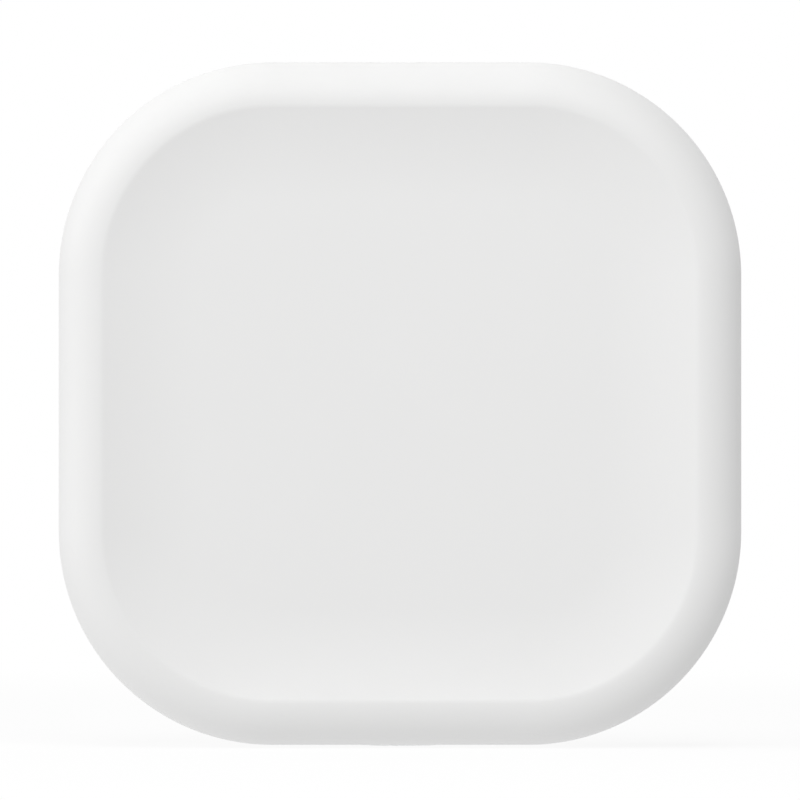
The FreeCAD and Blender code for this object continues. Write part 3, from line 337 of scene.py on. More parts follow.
    def drawn(self) -> Tree:
        """Long fine lines left by rolling, drawing or grinding.

        Returns:
            The group, with Height and Gloss.
        """
        inputs = {"Stretch": (4000.0, 80.0, 4000.0)}
        sheet, source, sink = self.open_group(Effect.DRAWN, inputs, ("Height", "Gloss"))
        lines = sheet.stretch(source.outputs["Place"], source.outputs["Stretch"])
        height = sheet.noise(lines, 1.0, 3.0)
        gloss = sheet.spread(sheet.noise(lines, 0.35, 3.0))
        sheet.feed(sink, {"Height": height, "Gloss": gloss})
        return sheet.tree

    def tracks(self) -> Tree:
        """Copper on a board: blocks of tracks along X or Z, square pours and small plated holes.

        Returns:
            The group, with Copper and Holes.
        """
        inputs = {"Blocks per Metre": 190.0, "Tracks per Metre": 1400.0}
        sheet, source, sink = self.open_group(Effect.TRACKS, inputs, ("Copper", "Holes"))
        flat = sheet.stretch(source.outputs["Place"], (1.0, 0.0, 1.0))
        scale = source.outputs["Blocks per Metre"]
        blocks = sheet.add("TexVoronoi", {"Vector": flat, "Scale": scale}, distance="CHEBYCHEV")
        turned, kind, _ = list(sheet.add("SeparateColor", {0: blocks.outputs["Color"]}).outputs)
        x, _, z = sheet.parts_of(flat)
        upright = sheet.sum("GREATER_THAN", turned, 0.5)
        along = sheet.add("Mix", {0: upright, 2: x, 3: z}).outputs[0]
        phase = sheet.sum("FRACT", sheet.sum("MULTIPLY", along, source.outputs["Tracks per Metre"]))
        lined, filled = sheet.sum("LESS_THAN", kind, 0.62), sheet.sum("GREATER_THAN", kind, 0.7)
        track = sheet.sum("MULTIPLY", sheet.within(phase, 0.5, 0.2, 0.04), lined)
        square = sheet.span(blocks.outputs["Distance"], 0.36, 0.38, 1.0, 0.0)
        poured = sheet.sum("MULTIPLY", filled, square)
        hole_scale = sheet.sum("MULTIPLY", scale, 2.1)
        holes = sheet.add("TexVoronoi", {"Vector": flat, "Scale": hole_scale}).outputs["Distance"]
        ring = sheet.sum("MULTIPLY", sheet.span(holes, 0.1, 0.13, 1.0, 0.0), sheet.span(holes, 0.03, 0.05))
        copper = sheet.sum("MAXIMUM", sheet.sum("MAXIMUM", track, poured), ring)
        sheet.feed(sink, {"Copper": copper, "Holes": ring})
        return sheet.tree


EFFECTS = EffectShelf()


class MaterialSheet(NodeSheet):
    """A new material's node tree, with its main shader in place."""

    def __init__(self, name: str) -> None:
        """Makes the material, its main shader and its place coordinates.

        Args:
            name: The material's name.
        """
        self.material = bpy.data.materials.new(name)
        self.material.use_nodes = True
        super().__init__(self.material.node_tree)
        self.tree.nodes.clear()
        self.shader = self.add("BsdfPrincipled")
        self.add("OutputMaterial", {"Surface": self.shader.outputs[0]})
        self.place = self.add("TexCoord").outputs["Object"]

    def effect(self, effect: Effect, inputs: dict | None = None) -> Node:
        """Places a shared effect in this material.

        Args:
            effect: The effect to place.
            inputs: Its own values here, by input name.

        Returns:
            The group node, fed with this material's coordinates.
        """
        node = self.tree.nodes.new("ShaderNodeGroup")
        node.node_tree = EFFECTS.get(effect)
        return self.feed(node, {"Place": self.place, **(inputs or {})})

    def bump(self, height: object, depth: float, strength: float = 1.0) -> None:
        """Roughens the surface by a height from 0 to 1, whose depth at 1 is in metres."""
        node = self.add("Bump", {"Height": height, "Distance": depth, "Strength": strength})
        self.feed(self.shader, {"Normal": node.outputs[0]})


@dataclass(frozen=True)
class Finish:
    """A surface finish that makes one material.

    Attributes:
        colour: Its main colour, in linear light.
        roughness: Its mean roughness.
    """

    colour: Colour
    roughness: float

    def make(self, name: str) -> Material:
        """Makes the finish's material.

        Args:
            name: The material's name.

        Returns:
            The material.
        """
        sheet = MaterialSheet(name)
        sheet.feed(sheet.shader, {"Base Color": self.colour, "Roughness": self.roughness})
        self.paint(sheet)
        return sheet.material

    def paint(self, sheet: MaterialSheet) -> None:
        """Adds what this kind of finish has beyond colour and roughness."""

    def shade(self, by: float) -> Colour:
        """Gives the main colour made lighter or darker by a factor."""
        return tuple(min(1.0, part * by) for part in self.colour)


@dataclass(frozen=True)
class Moulding(Finish):
    """Injection-moulded plastic with a spark-eroded skin.

    Attributes:
        pits: How many texture pits fit in a metre.
        pit_depth: Depth of the texture, in metres.
        flow: How far the tone drifts, as a share of the colour.
        dust: How much dust lies on faces turned up.
        rubbed: How much the edges are rubbed.
        dust_colour: The dust's colour.
    """

    pits: float = 7000.0
    pit_depth: float = 4e-6
    flow: float = 0.006
    dust: float = 0.05
    rubbed: float = 0.3
    dust_colour: Colour = (0.72, 0.7, 0.67)

    def paint(self, sheet: MaterialSheet) -> None:
        """Lays tone drift, polished edges, dust and the mould's texture.

        Args:
            sheet: The new material's sheet.
        """
        grain = sheet.effect(Effect.GRAIN, {"Pits per Metre": self.pits})
        dust = sheet.effect(Effect.DUST, {"Amount": self.dust})
        tone = sheet.mix(grain.outputs["Tone"], self.shade(1 - self.flow), self.shade(1 + self.flow))
        dusty = sheet.mix(dust.outputs["Mask"], tone, self.dust_colour)
        roughness = sheet.between(grain.outputs["Gloss"], self.roughness - 0.03, self.roughness + 0.03)
        if self.rubbed > 0:
            wear = sheet.effect(Effect.WEAR, {"Amount": self.rubbed})
            smoothed = sheet.sum("MULTIPLY", wear.outputs["Mask"], 0.12)
            roughness = sheet.sum("SUBTRACT", roughness, smoothed)
        sheet.feed(sheet.shader, {"Base Color": dusty, "Roughness": roughness})
        sheet.bump(grain.outputs["Height"], self.pit_depth)


@dataclass(frozen=True)
class MilkyMoulding(Finish):
    """Translucent plastic that lets a lamp glow through it.

    Attributes:
        glow_depth: How far light spreads inside it, in metres.
        ripple: Depth of its slow surface ripple, in metres.
    """

    glow_depth: float = 0.0008
    ripple: float = 3e-6

    def paint(self, sheet: MaterialSheet) -> None:
        """Lays the inner spread of light, cloudy tone and a polished skin.

        Args:
            sheet: The new material's sheet.
        """
        grain = sheet.effect(Effect.GRAIN, {"Pits per Metre": 2500.0, "Flow per Metre": 500.0})
        tone = sheet.mix(grain.outputs["Tone"], self.shade(0.97), self.shade(1.02))
        drift = sheet.between(grain.outputs["Gloss"], self.roughness - 0.04, self.roughness + 0.04)
        feeds = {"Base Color": tone, "Roughness": drift, "Subsurface Weight": 0.35}
        feeds |= {"Subsurface Radius": (1.0, 1.0, 0.9), "Subsurface Scale": self.glow_depth}
        sheet.feed(sheet.shader, feeds)
        sheet.bump(grain.outputs["Height"], self.ripple)


@dataclass(frozen=True)
class Plating(Finish):
    """Plated or bare metal with drawn lines, scratches and rubbed edges.

    Attributes:
        under: The colour that shows where the plating is rubbed.
        lines: How the drawn lines stretch, in cycles per metre on each axis.
        line_depth: Depth of the lines, in metres.
        rubbed: How much the edges are rubbed.
        tarnish: How far the tone darkens in patches.
    """

    under: Colour = (0.7, 0.6, 0.4)
    lines: tuple[float, float, float] = (5000.0, 120.0, 5000.0)
    line_depth: float = 1.5e-6
    rubbed: float = 0.5
    tarnish: float = 0.1

    def paint(self, sheet: MaterialSheet) -> None:
        """Lays patchy tone, scratches, rubbed edges and drawn lines.

        Args:
            sheet: The new material's sheet.
        """
        drawn = sheet.effect(Effect.DRAWN, {"Stretch": self.lines})
        grain = sheet.effect(Effect.GRAIN, {"Flow per Metre": 220.0})
        wear = sheet.effect(Effect.WEAR, {"Radius": 0.00025, "Amount": self.rubbed})
        marks = tuple(part * 0.35 for part in self.lines)
        scratches = sheet.effect(Effect.SCRATCHES, {"Stretch": marks, "Patches per Metre": 160.0})
        tone = sheet.mix(grain.outputs["Tone"], self.shade(1 - self.tarnish), self.shade(1.03))
        lined = sheet.mix(scratches.outputs["Mask"], tone, self.shade(1.15))
        worn = sheet.mix(wear.outputs["Mask"], lined, self.under)
        drift = sheet.between(drawn.outputs["Gloss"], self.roughness - 0.06, self.roughness + 0.08)
        scuffed = sheet.sum("MULTIPLY", scratches.outputs["Mask"], 0.18)
        roughness = sheet.sum("ADD", drift, scuffed)
        sheet.feed(sheet.shader, {"Base Color": worn, "Roughness": roughness, "Metallic": 1.0})
        sheet.bump(drawn.outputs["Height"], self.line_depth)


@dataclass(frozen=True)
class Laminate(Finish):
    """Glass laminate under solder mask, with tracks, pours and tinned holes showing through.

    Attributes:
        over_copper: The mask's colour where copper lies under it.
        bare: The colour of its sawn edges.
        blocks: How many blocks of tracks fit in a metre.
        tinned: The colour round the holes.
        foil: Height of the copper, in metres.
    """

    over_copper: Colour = (0.08, 0.36, 0.18)
    bare: Colour = (0.5, 0.46, 0.27)
    blocks: float = 190.0
    tinned: Colour = (0.74, 0.74, 0.72)
    foil: float = 3.5e-5

    def paint(self, sheet: MaterialSheet) -> None:
        """Lays the copper under the mask, the holes, the weave and the sawn edges.

        Args:
            sheet: The new material's sheet.
        """
        copper = sheet.effect(Effect.TRACKS, {"Blocks per Metre": self.blocks})
        grain = sheet.effect(Effect.GRAIN, {"Pits per Metre": 1800.0, "Flow per Metre": 120.0})
        tone = sheet.mix(grain.outputs["Tone"], self.shade(0.88), self.shade(1.1))
        masked = sheet.mix(copper.outputs["Copper"], tone, self.over_copper)
        plated = sheet.mix(copper.outputs["Holes"], masked, self.tinned)
        away = sheet.sum("ABSOLUTE", sheet.parts_of(sheet.add("NewGeometry").outputs["Normal"])[1])
        sawn = sheet.span(away, 0.4, 0.6, 1.0, 0.0)
        colour = sheet.mix(sawn, plated, self.bare)
        gloss = sheet.between(grain.outputs["Gloss"], self.roughness, self.roughness + 0.08)
        rough = sheet.sum("ADD", gloss, sheet.sum("MULTIPLY", sawn, 0.4))
        metal = sheet.sum("MULTIPLY", copper.outputs["Holes"], sheet.sum("SUBTRACT", 1.0, sawn), clamp=True)
        sheet.feed(sheet.shader, {"Base Color": colour, "Roughness": rough, "Metallic": metal})
        weave = sheet.sum("MULTIPLY", grain.outputs["Height"], 0.2)
        sheet.bump(sheet.sum("ADD", copper.outputs["Copper"], weave), self.foil)


@dataclass(frozen=True)
class Sintered(Finish):
    """Pressed and fired ceramic or ferrite: speckled, matt, chipped pale along its edges.

    Attributes:
        speckle: How far the grains differ in tone.
        chips: How much the edges are chipped.
        ground: Depth of the lines that grinding leaves, in metres.
    """

    speckle: float = 0.35
    chips: float = 0.6
    ground: float = 4e-6

    def paint(self, sheet: MaterialSheet) -> None:
        """Lays speckle, chipped edges and ground faces.

        Args:
            sheet: The new material's sheet.
        """
        grain = sheet.effect(Effect.GRAIN, {"Pits per Metre": 9000.0, "Flow per Metre": 500.0})
        lines = sheet.effect(Effect.DRAWN, {"Stretch": (9000.0, 500.0, 900.0)})
        wear = sheet.effect(Effect.WEAR, {"Radius": 0.0002, "Breaks per Metre": 2500.0, "Amount": self.chips})
        dark, light = self.shade(1 - self.speckle), self.shade(1 + self.speckle)
        specked = sheet.mix(grain.outputs["Height"], dark, light)
        chipped = sheet.mix(wear.outputs["Mask"], specked, self.shade(2.4))
        rough = sheet.between(grain.outputs["Gloss"], self.roughness - 0.08, self.roughness + 0.08)
        sheet.feed(sheet.shader, {"Base Color": chipped, "Roughness": rough})
        sheet.bump(sheet.sum("ADD", lines.outputs["Height"], grain.outputs["Height"]), self.ground)


@dataclass(frozen=True)
class Dipped(Finish):
    """Thick lacquer or epoxy with an orange-peel skin, and colour bands where it has any.

    Attributes:
        peel: Depth of the orange peel, in metres.
        bands: Each band's middle along the part's own axis, in metres, and its colour.
        band_half: Half of a band's width.
    """

    peel: float = 1.2e-5
    bands: tuple[tuple[float, Colour], ...] = ()
    band_half: float = 0.28 * MM

    def paint(self, sheet: MaterialSheet) -> None:
        """Lays the drifting colour, the bands and the peel.

        Args:
            sheet: The new material's sheet.
        """
        peel = sheet.effect(Effect.GRAIN, {"Pits per Metre": 1500.0, "Flow per Metre": 350.0})
        colour = sheet.mix(peel.outputs["Tone"], self.shade(0.86), self.shade(1.1))
        along = sheet.parts_of(sheet.place)[2]
        uneven = sheet.sum("MULTIPLY", sheet.sum("SUBTRACT", peel.outputs["Gloss"], 0.5), 0.12 * MM)
        wavy = sheet.sum("ADD", along, uneven)
        for middle, band in self.bands:
            colour = sheet.mix(sheet.within(wavy, middle, self.band_half, 0.04 * MM), colour, band)
        rough = sheet.between(peel.outputs["Gloss"], self.roughness, self.roughness + 0.12)
        sheet.feed(sheet.shader, {"Base Color": colour, "Roughness": rough, "Coat Weight": 0.4})
        sheet.bump(peel.outputs["Height"], self.peel)


@dataclass(frozen=True)
class ShrinkSleeve(Finish):
    """Printed sleeve shrunk over a can, with the stripe that marks one side and puckers at its ends.

    Attributes:
        stripe: The stripe's colour.
        stripe_edge: How far from the can's axis the stripe begins, in metres.
        body: Heights between which the sleeve lies smooth, in metres.
        scuffed: The colour of its scuffs.
        pucker: Depth of the puckers, in metres.
    """

    stripe: Colour = (0.42, 0.45, 0.5)
    stripe_edge: float = 3.35 * MM
    body: tuple[float, float] = (2.6 * MM, 11.0 * MM)
    scuffed: Colour = (0.3, 0.3, 0.32)
    pucker: float = 6e-5

    def paint(self, sheet: MaterialSheet) -> None:
        """Lays the stripe, the film's gloss and the puckers.

        Args:
            sheet: The new material's sheet.
        """
        across, _, height = sheet.parts_of(sheet.place)
        film = sheet.effect(Effect.GRAIN, {"Pits per Metre": 1100.0, "Flow per Metre": 260.0})
        scuffs = sheet.effect(Effect.SCRATCHES, {"Stretch": (700.0, 700.0, 90.0), "Patches per Metre": 150.0})
        tone = sheet.mix(film.outputs["Tone"], self.shade(0.8), self.shade(1.25))
        striped = sheet.span(across, -self.stripe_edge - 0.05 * MM, -self.stripe_edge, 1.0, 0.0)
        marked = sheet.mix(striped, tone, self.stripe)
        colour = sheet.mix(sheet.sum("MULTIPLY", scuffs.outputs["Mask"], 0.3), marked, self.scuffed)
        gloss = sheet.between(film.outputs["Gloss"], self.roughness, self.roughness + 0.1)
        rough = sheet.sum("ADD", gloss, sheet.sum("MULTIPLY", scuffs.outputs["Mask"], 0.2))
        low, high = self.body
        middle, half = (low + high) / 2, (high - low) / 2
        gathered = sheet.sum("SUBTRACT", 1.0, sheet.within(height, middle, half, 0.9 * MM))
        puckers = sheet.noise(sheet.stretch(sheet.place, (1600.0, 1600.0, 220.0)), 1.0, 2.0)
        lumps = sheet.sum("MULTIPLY", puckers, gathered)
        sheet.feed(sheet.shader, {"Base Color": colour, "Roughness": rough})
        rough_film = sheet.sum("MULTIPLY", film.outputs["Height"], 0.06)
        sheet.bump(sheet.sum("ADD", lumps, rough_film), self.pucker)


@dataclass(frozen=True)
class TapeWrap(Finish):
    """Clear polyester tape over wire, whose turns show through it.

    Attributes:
        copper: The wire's colour under the tape.
        wire: Diameter of the wire, in metres.
        wrinkle: Depth of its ridges and wrinkles, in metres.
    """

    copper: Colour = (0.55, 0.26, 0.06)
    wire: float = 0.22 * MM
    wrinkle: float = 2.2e-5

    def paint(self, sheet: MaterialSheet) -> None:
        """Lays the wire's turns under the tape, its trapped air and its wrinkles.

        Args:
            sheet: The new material's sheet.
        """
        along = sheet.parts_of(sheet.place)[2]
        film = sheet.effect(Effect.GRAIN, {"Pits per Metre": 900.0, "Flow per Metre": 420.0})
        turns = sheet.sum("FRACT", sheet.sum("DIVIDE", along, self.wire))
        ridge = sheet.within(turns, 0.5, 0.5, 0.5)
        tone = sheet.mix(film.outputs["Tone"], self.shade(0.85), self.shade(1.08))
        pressed = sheet.sum("MULTIPLY", sheet.span(film.outputs["Gloss"], 0.35, 0.8), ridge)
        colour = sheet.mix(sheet.sum("MULTIPLY", pressed, 0.55), tone, self.copper)
        rough = sheet.between(film.outputs["Gloss"], self.roughness + 0.14, self.roughness)
        sheet.feed(sheet.shader, {"Base Color": colour, "Roughness": rough, "Coat Weight": 0.25})
        height = sheet.sum("ADD", sheet.sum("MULTIPLY", ridge, 0.4), film.outputs["Height"])
        sheet.bump(height, self.wrinkle)


RIGHT, BACK, UP = AXES = (Vector((1.0, 0.0, 0.0)), Vector((0.0, 1.0, 0.0)), Vector((0.0, 0.0, 1.0)))


@dataclass(frozen=True)
class Place:
    """Where a piece's own U, V and W directions lie in the frame.

    Attributes:
        origin: The point where all three are zero.
        across: The U direction.
        along: The V direction.
        up: The W direction, in which a section's height is measured.
    """

    origin: Vector
    across: Vector = RIGHT
    along: Vector = UP
    up: Vector = -BACK

    def direction(self, u: float, v: float, w: float) -> Vector:
        """Turns a local direction into one of the frame."""
        return self.across * u + self.along * v + self.up * w

    def point(self, u: float, v: float, w: float) -> Vector:
        """Turns a local point into one of the frame."""
        return self.origin + self.direction(u, v, w)

    def matrix(self) -> Matrix:
        """Gives the matrix that carries a piece made at its own origin to this place."""
        columns = Matrix((self.across, self.along, self.up)).transposed()
        return Matrix.Translation(self.origin) @ columns.to_4x4()


HERE = Place(Vector(), *AXES)
SIDEWAYS, DOWNWARD, WALLWARD = (UP, -BACK, RIGHT), (RIGHT, -BACK, -UP), (RIGHT, -UP, BACK)


def foot_of(node: str) -> tuple[Place, Vector]:
    """Gives the middle of a CAD node's foot on its board, with W towards the front, and its size."""
    low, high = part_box(node)
    return Place(Vector(((low.x + high.x) / 2, high.y, (low.z + high.z) / 2))), high - low


@dataclass(frozen=True)
class Outline:
    """A closed outline of arcs of one radius, joined by straight sides.

    Attributes:
        arcs: Each arc's centre and its first and last direction, in degrees.
        radius: The arcs' radius.
        steps: How many edges a quarter turn has.
    """

    arcs: tuple[tuple[float, float, float, float], ...]
    radius: float
    steps: int

    @classmethod
    def pill(cls, half_width: float, half_height: float, steps: int, stops: int = 1) -> "Outline":
        """Draws round ends joined by two sides.

        Args:
            half_width: Half of its whole width.
            half_height: The radius of its ends.
            steps: How many edges a quarter turn has.
            stops: How many points stand along each side between its ends, an odd number.

        Returns:
            The outline.
        """
        reach = half_width - half_height
        spots = [reach - 2 * reach * number / (stops + 1) for number in range(1, stops + 1)]
        right = [(reach, 0.0, -90.0, 90.0)] + [(x, 0.0, 90.0, 90.0) for x in spots]
        left = [(-reach, 0.0, 90.0, 270.0)] + [(-x, 0.0, 270.0, 270.0) for x in spots]
        return cls((*right, *left), half_height, steps)

    @classmethod
    def block(cls, half_width: float, half_height: float, radius: float, steps: int) -> "Outline":
        """Draws a rectangle with rounded corners round the origin.

        Args:
            half_width: Half of its width.
            half_height: Half of its height.
            radius: The radius of its corners.
            steps: How many edges a quarter turn has.

        Returns:
            The outline.
        """
        x, y = half_width - radius, half_height - radius
        corners = ((x, -y, -90.0), (x, y, 0.0), (-x, y, 90.0), (-x, -y, 180.0))
        return cls(tuple((*corner, corner[2] + 90.0) for corner in corners), radius, steps)

    @classmethod
    def circle(cls, radius: float, steps: int) -> "Outline":
        """Draws a full circle round the origin."""
        return cls(((0.0, 0.0, -90.0, 270.0 - 90.0 / steps),), radius, steps)

    def stations(self) -> list[tuple[Vector, Vector]]:
        """Gives each point on the outline with its outward direction."""
        found = []
        for x, y, start, end in self.arcs:
            count = round((end - start) / 90.0 * self.steps)
            for step in range(count + 1):
                turn = math.radians(start + (end - start) * step / max(count, 1))
                outward = Vector((math.cos(turn), math.sin(turn)))
                found.append((Vector((x, y)) + outward * self.radius, outward))
        return found


def half_loop(outline: Outline, inset: float = 0.0, lift: float = 0.0) -> list[tuple[float, float]]:
    """Gives the right half of an outline, from its lowest to its highest point on the middle line.

    Args:
        outline: The outline.
        inset: How far inside it the loop lies.
        lift: How far up it is moved.

    Returns:
        The points as U and V.
    """
    points = [at - outward * inset for at, outward in outline.stations()]
    reach = max(point.y for point in points)
    right = [(point.x, point.y + lift) for point in points if point.x > TINY]
    return [(0.0, lift - reach), *right, (0.0, lift + reach)]


def cross_half(arm: float, half_width: float) -> list[tuple[float, float]]:
    """Gives the right half of an upright cross, from its lowest to its highest point."""
    corners = [(half_width, -arm), (half_width, -half_width), (arm, -half_width)]
    return [(0.0, -arm), *corners, *[(u, -v) for u, v in corners[::-1]], (0.0, arm)]


def mirrored(half: list[tuple[float, float]]) -> list[tuple[float, float]]:
    """Closes a right half into a whole loop against the clock."""
    return half + [(-u, v) for u, v in half[-2:0:-1]]


class Section:
    """A cut through a swept wall: its height, how far it lies inside the outline, and the way it faces."""

    def __init__(self) -> None:
        """Starts with no strip."""
        self.strips: list[list[tuple[Vector, Vector]]] = []

    @classmethod
    def through(cls, corners: list[tuple[float, float, float]], steps: int = 4) -> "Section":
        """Joins corners by lines and rounds them.

        Args:
            corners: Each corner's height, its inset and the radius that rounds it.
            steps: How many edges a rounded corner has.

        Returns:
            The section.
        """
        section = cls()
        last = Vector(corners[0][:2])
        for number in range(1, len(corners)):
            corner = Vector(corners[number][:2])
            radius = corners[number][2]
            if radius == 0.0 or number == len(corners) - 1:
                section.line(last, corner)
                last = corner
                continue
            before = (corner - Vector(corners[number - 1][:2])).normalized()
            after = (Vector(corners[number + 1][:2]) - corner).normalized()
            side = 1.0 if before.x * after.y > before.y * after.x else -1.0
            reach = radius * math.tan(before.angle(after) / 2)
            first = corner - before * reach
            centre = first + Vector((-before.y, before.x)) * side * radius
            start = math.degrees(math.atan2(first.y - centre.y, first.x - centre.x))
            if (first - last).length > TINY:
                section.line(last, first)
            section.arc(centre, radius, start, start + side * math.degrees(before.angle(after)), steps)
            last = corner + after * reach
        return section

    def line(self, start: tuple[float, float], end: tuple[float, float]) -> "Section":
        """Adds a straight strip.

        Args:
            start: Height and inset of its start.
            end: Height and inset of its end.

        Returns:
            The section itself.
        """
        along = (Vector(end) - Vector(start)).normalized()
        facing = Vector((along.y, -along.x))
        self.strips.append([(Vector(start), facing), (Vector(end), facing)])
        return self

    def arc(
        self, centre: tuple[float, float], radius: float, start: float, end: float, steps: int
    ) -> "Section":
        """Adds a round strip, which bulges out when its angle grows and is hollow when it falls.

        Args:
            centre: Height and inset of its centre.
            radius: Its radius.
            start: Its first angle, in degrees from the height towards the inset.
            end: Its last angle.
            steps: How many edges it has.

        Returns:
            The section itself.
        """
        side = 1.0 if end > start else -1.0
        strip = []
        for step in range(steps + 1):
            turn = math.radians(start + (end - start) * step / steps)
            away = Vector((math.cos(turn), math.sin(turn)))
            strip.append((Vector(centre) + away * radius, away * side))
        self.strips.append(strip)
        return self


class ExactMesh:
    """A mesh whose face corners carry the exact normals of the surface that they stand for."""

    def __init__(self) -> None:
        """Starts with no face."""
        self.mesh = bmesh.new()
        self.found: dict[tuple, bmesh.types.BMVert] = {}
        self.normals: list[Vector] = []

    def vertex(self, point: Vector) -> bmesh.types.BMVert:
        """Gives the vertex at a point, making it the first time.

        Args:
            point: Where it is.

        Returns:
            The vertex.
        """
        key = tuple(round(part, 7) for part in point)
        if key not in self.found:
            self.found[key] = self.mesh.verts.new(point)
        return self.found[key]

    def face(self, points: list[Vector], normals: list[Vector]) -> None:
        """Adds a face, turned the way its normals point.

        Args:
            points: Its corners in order.
            normals: The surface's normal at each corner.
        """
        corners = [(self.vertex(point), normal) for point, normal in zip(points, normals)]
        kept = [corner for number, corner in enumerate(corners) if corner[0] is not corners[number - 1][0]]
        if len(kept) < 3:
            return
        turned, facing = Vector(), Vector()
        for number, (vertex, normal) in enumerate(kept):
            turned += kept[number - 1][0].co.cross(vertex.co)
            facing += normal
        if turned.dot(facing) < 0:
            kept.reverse()
        self.mesh.faces.new([vertex for vertex, _ in kept]).smooth = True
        self.normals += [normal for _, normal in kept]

    def sweep(self, place: Place, outline: Outline, section: Section, sides: bool = True) -> None:
        """Carries a section round an outline.

        Args:
            place: Where the outline lies.
            outline: The outline that the section's inset is measured from.
            section: The section to carry.
            sides: Whether the outline's straight sides are filled too.
        """
        stations = outline.stations()
        for strip in section.strips:
            for number, after in enumerate(stations):
                before = stations[number - 1]
                straight = (before[1] - after[1]).length < TINY
                if straight and (not sides or before[0] == after[0]):
                    continue
                for start, end in zip(strip, strip[1:]):
                    ring = ((before, start), (after, start), (after, end), (before, end))
                    points = [place.point(*(at[0] - at[1] * cut[0].y), cut[0].x) for at, cut in ring]
                    normals = [place.direction(*(at[1] * -cut[1].y), cut[1].x) for at, cut in ring]
                    self.face(points, normals)

    def cap(self, place: Place, outline: Outline, height: float, inset: float, facing: float) -> None:
        """Closes an outline with one flat face, inset from it, that faces up for 1 and down for -1."""
        points = [place.point(*(at - outward * inset), height) for at, outward in outline.stations()]
        self.face(points, [place.direction(0.0, 0.0, facing)] * len(points))

    def turn(self, place: Place, corners: list[tuple[float, float, float]], steps: int = 10) -> None:
        """Turns corners of height, distance from the axis and rounding about a place's W direction."""
        section = Section.through([(height, -away, rounding) for height, away, rounding in corners])
        self.sweep(place, Outline.circle(0.0, steps), section)

    def block(self, place: Place, outline: Outline, height: float, edge: float, draft: float = 0.0) -> None:
        """Moulds a closed block that stands on a place.

        Args:
            place: Where its foot lies.
            outline: The outline at its foot, its corners rounder than the edge and draft together.
            height: Its height.
            edge: The radius that rounds the edge of its top.
            draft: How far its walls lean in on the way up.
        """
        section = Section.through([(0.0, 0.0, 0.0), (height, draft, edge), (height, outline.radius, 0.0)])
        self.sweep(place, outline, section)
        self.cap(place, outline, height, outline.radius, 1.0)
        self.cap(place, outline, 0.0, 0.0, -1.0)

    def panel(self, place: Place, rim: list[tuple[float, float]], holes: list[list[tuple]]) -> None:
        """Fills a flat panel that has holes on its middle line, as a right and a left half.

        Args:
            place: Where the panel lies, facing along its W direction.
            rim: The right half of its edge from low to high V, starting and ending at U zero.
            holes: The right half of each hole in the same way, the lowest first.
        """
        middle = [point for hole in holes for point in hole]
        for side in (1.0, -1.0):
            points = [place.point(u * side, v, 0.0) for u, v in rim + middle[::-1]]
            self.face(points, [place.up.copy() for _ in points])

    def walls(self, place: Place, loop: list[tuple[float, float]], depth: float) -> None:
        """Sinks a pocket with upright walls and a flat floor.

        Args:
            place: Where the pocket's mouth lies, facing along its W direction.
            loop: The mouth's corners as U and V, in order against the clock.
            depth: How deep it goes.
        """
        for number, after in enumerate(loop):
            before = loop[number - 1]
            along = (Vector(after) - Vector(before)).normalized()
            inward = place.direction(-along.y, along.x, 0.0)
            ring = ((before, 0.0), (after, 0.0), (after, -depth), (before, -depth))
            self.face([place.point(*at, w) for at, w in ring], [inward] * 4)
        self.face([place.point(*at, -depth) for at in loop], [place.up.copy() for _ in loop])

    def strip(self, place: Place, side: list[tuple[float, float]], width: float) -> None:
        """Stretches a closed side view across a width, with flat faces.

        Args:
            place: Where the side view lies, its corners along the V and W directions.
            side: The side view's corners with the clock, as V and W.
            width: How wide the strip is, half of it on each side of the place.
        """
        for half in (-width / 2, width / 2):
            facing = place.direction(half, 0.0, 0.0).normalized()
            self.face([place.point(half, v, w) for v, w in side], [facing.copy() for _ in side])
        for number, after in enumerate(side):
            before = side[number - 1]
            along = (Vector(after) - Vector(before)).normalized()
            facing = place.direction(0.0, -along.y, along.x)
            ends = ((-width / 2, before), (width / 2, before), (width / 2, after), (-width / 2, after))
            self.face([place.point(u, *at) for u, at in ends], [facing] * 4)

    def bow(self, half: float, fall: float) -> None:
        """Lets everything that stands above its foot fall away towards both ends, with its normals.

        Args:
            half: How far the ends are from the middle, along the U direction.
            fall: How far they come down.
        """
        corners = (corner.vert.co for face in self.mesh.faces for corner in face.loops)
        for point, normal in zip(corners, self.normals):
            if point.z > 0:
                normal.x += normal.z * 2 * fall * point.x / half**2
                normal.normalize()
        for vertex in self.mesh.verts:
            if vertex.co.z > 0:
                vertex.co.z -= fall * (vertex.co.x / half) ** 2

    def build(self, name: str, material: Material, body: Body, place: Place | None = None) -> Piece:
        """Makes the object and hangs it on its body.

        Args:
            name: The object's name.
            material: Its finish.
            body: The body that it rides on.
            place: Where its own origin and directions lie, if not the frame's.

        Returns:
            The finished object.
        """
        data = bpy.data.meshes.new(name)
        self.mesh.to_mesh(data)
        self.mesh.free()
        data.normals_split_custom_set([tuple(normal) for normal in self.normals])
        data.materials.append(material)
        piece = bpy.data.objects.new(name, data)
        if place:
            piece.matrix_world = place.matrix()
        bpy.context.scene.collection.objects.link(piece)
        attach(piece, body.value)
        LOG.info("%s: %d faces, finish %s", name, len(data.polygons), material.name)
        return piece


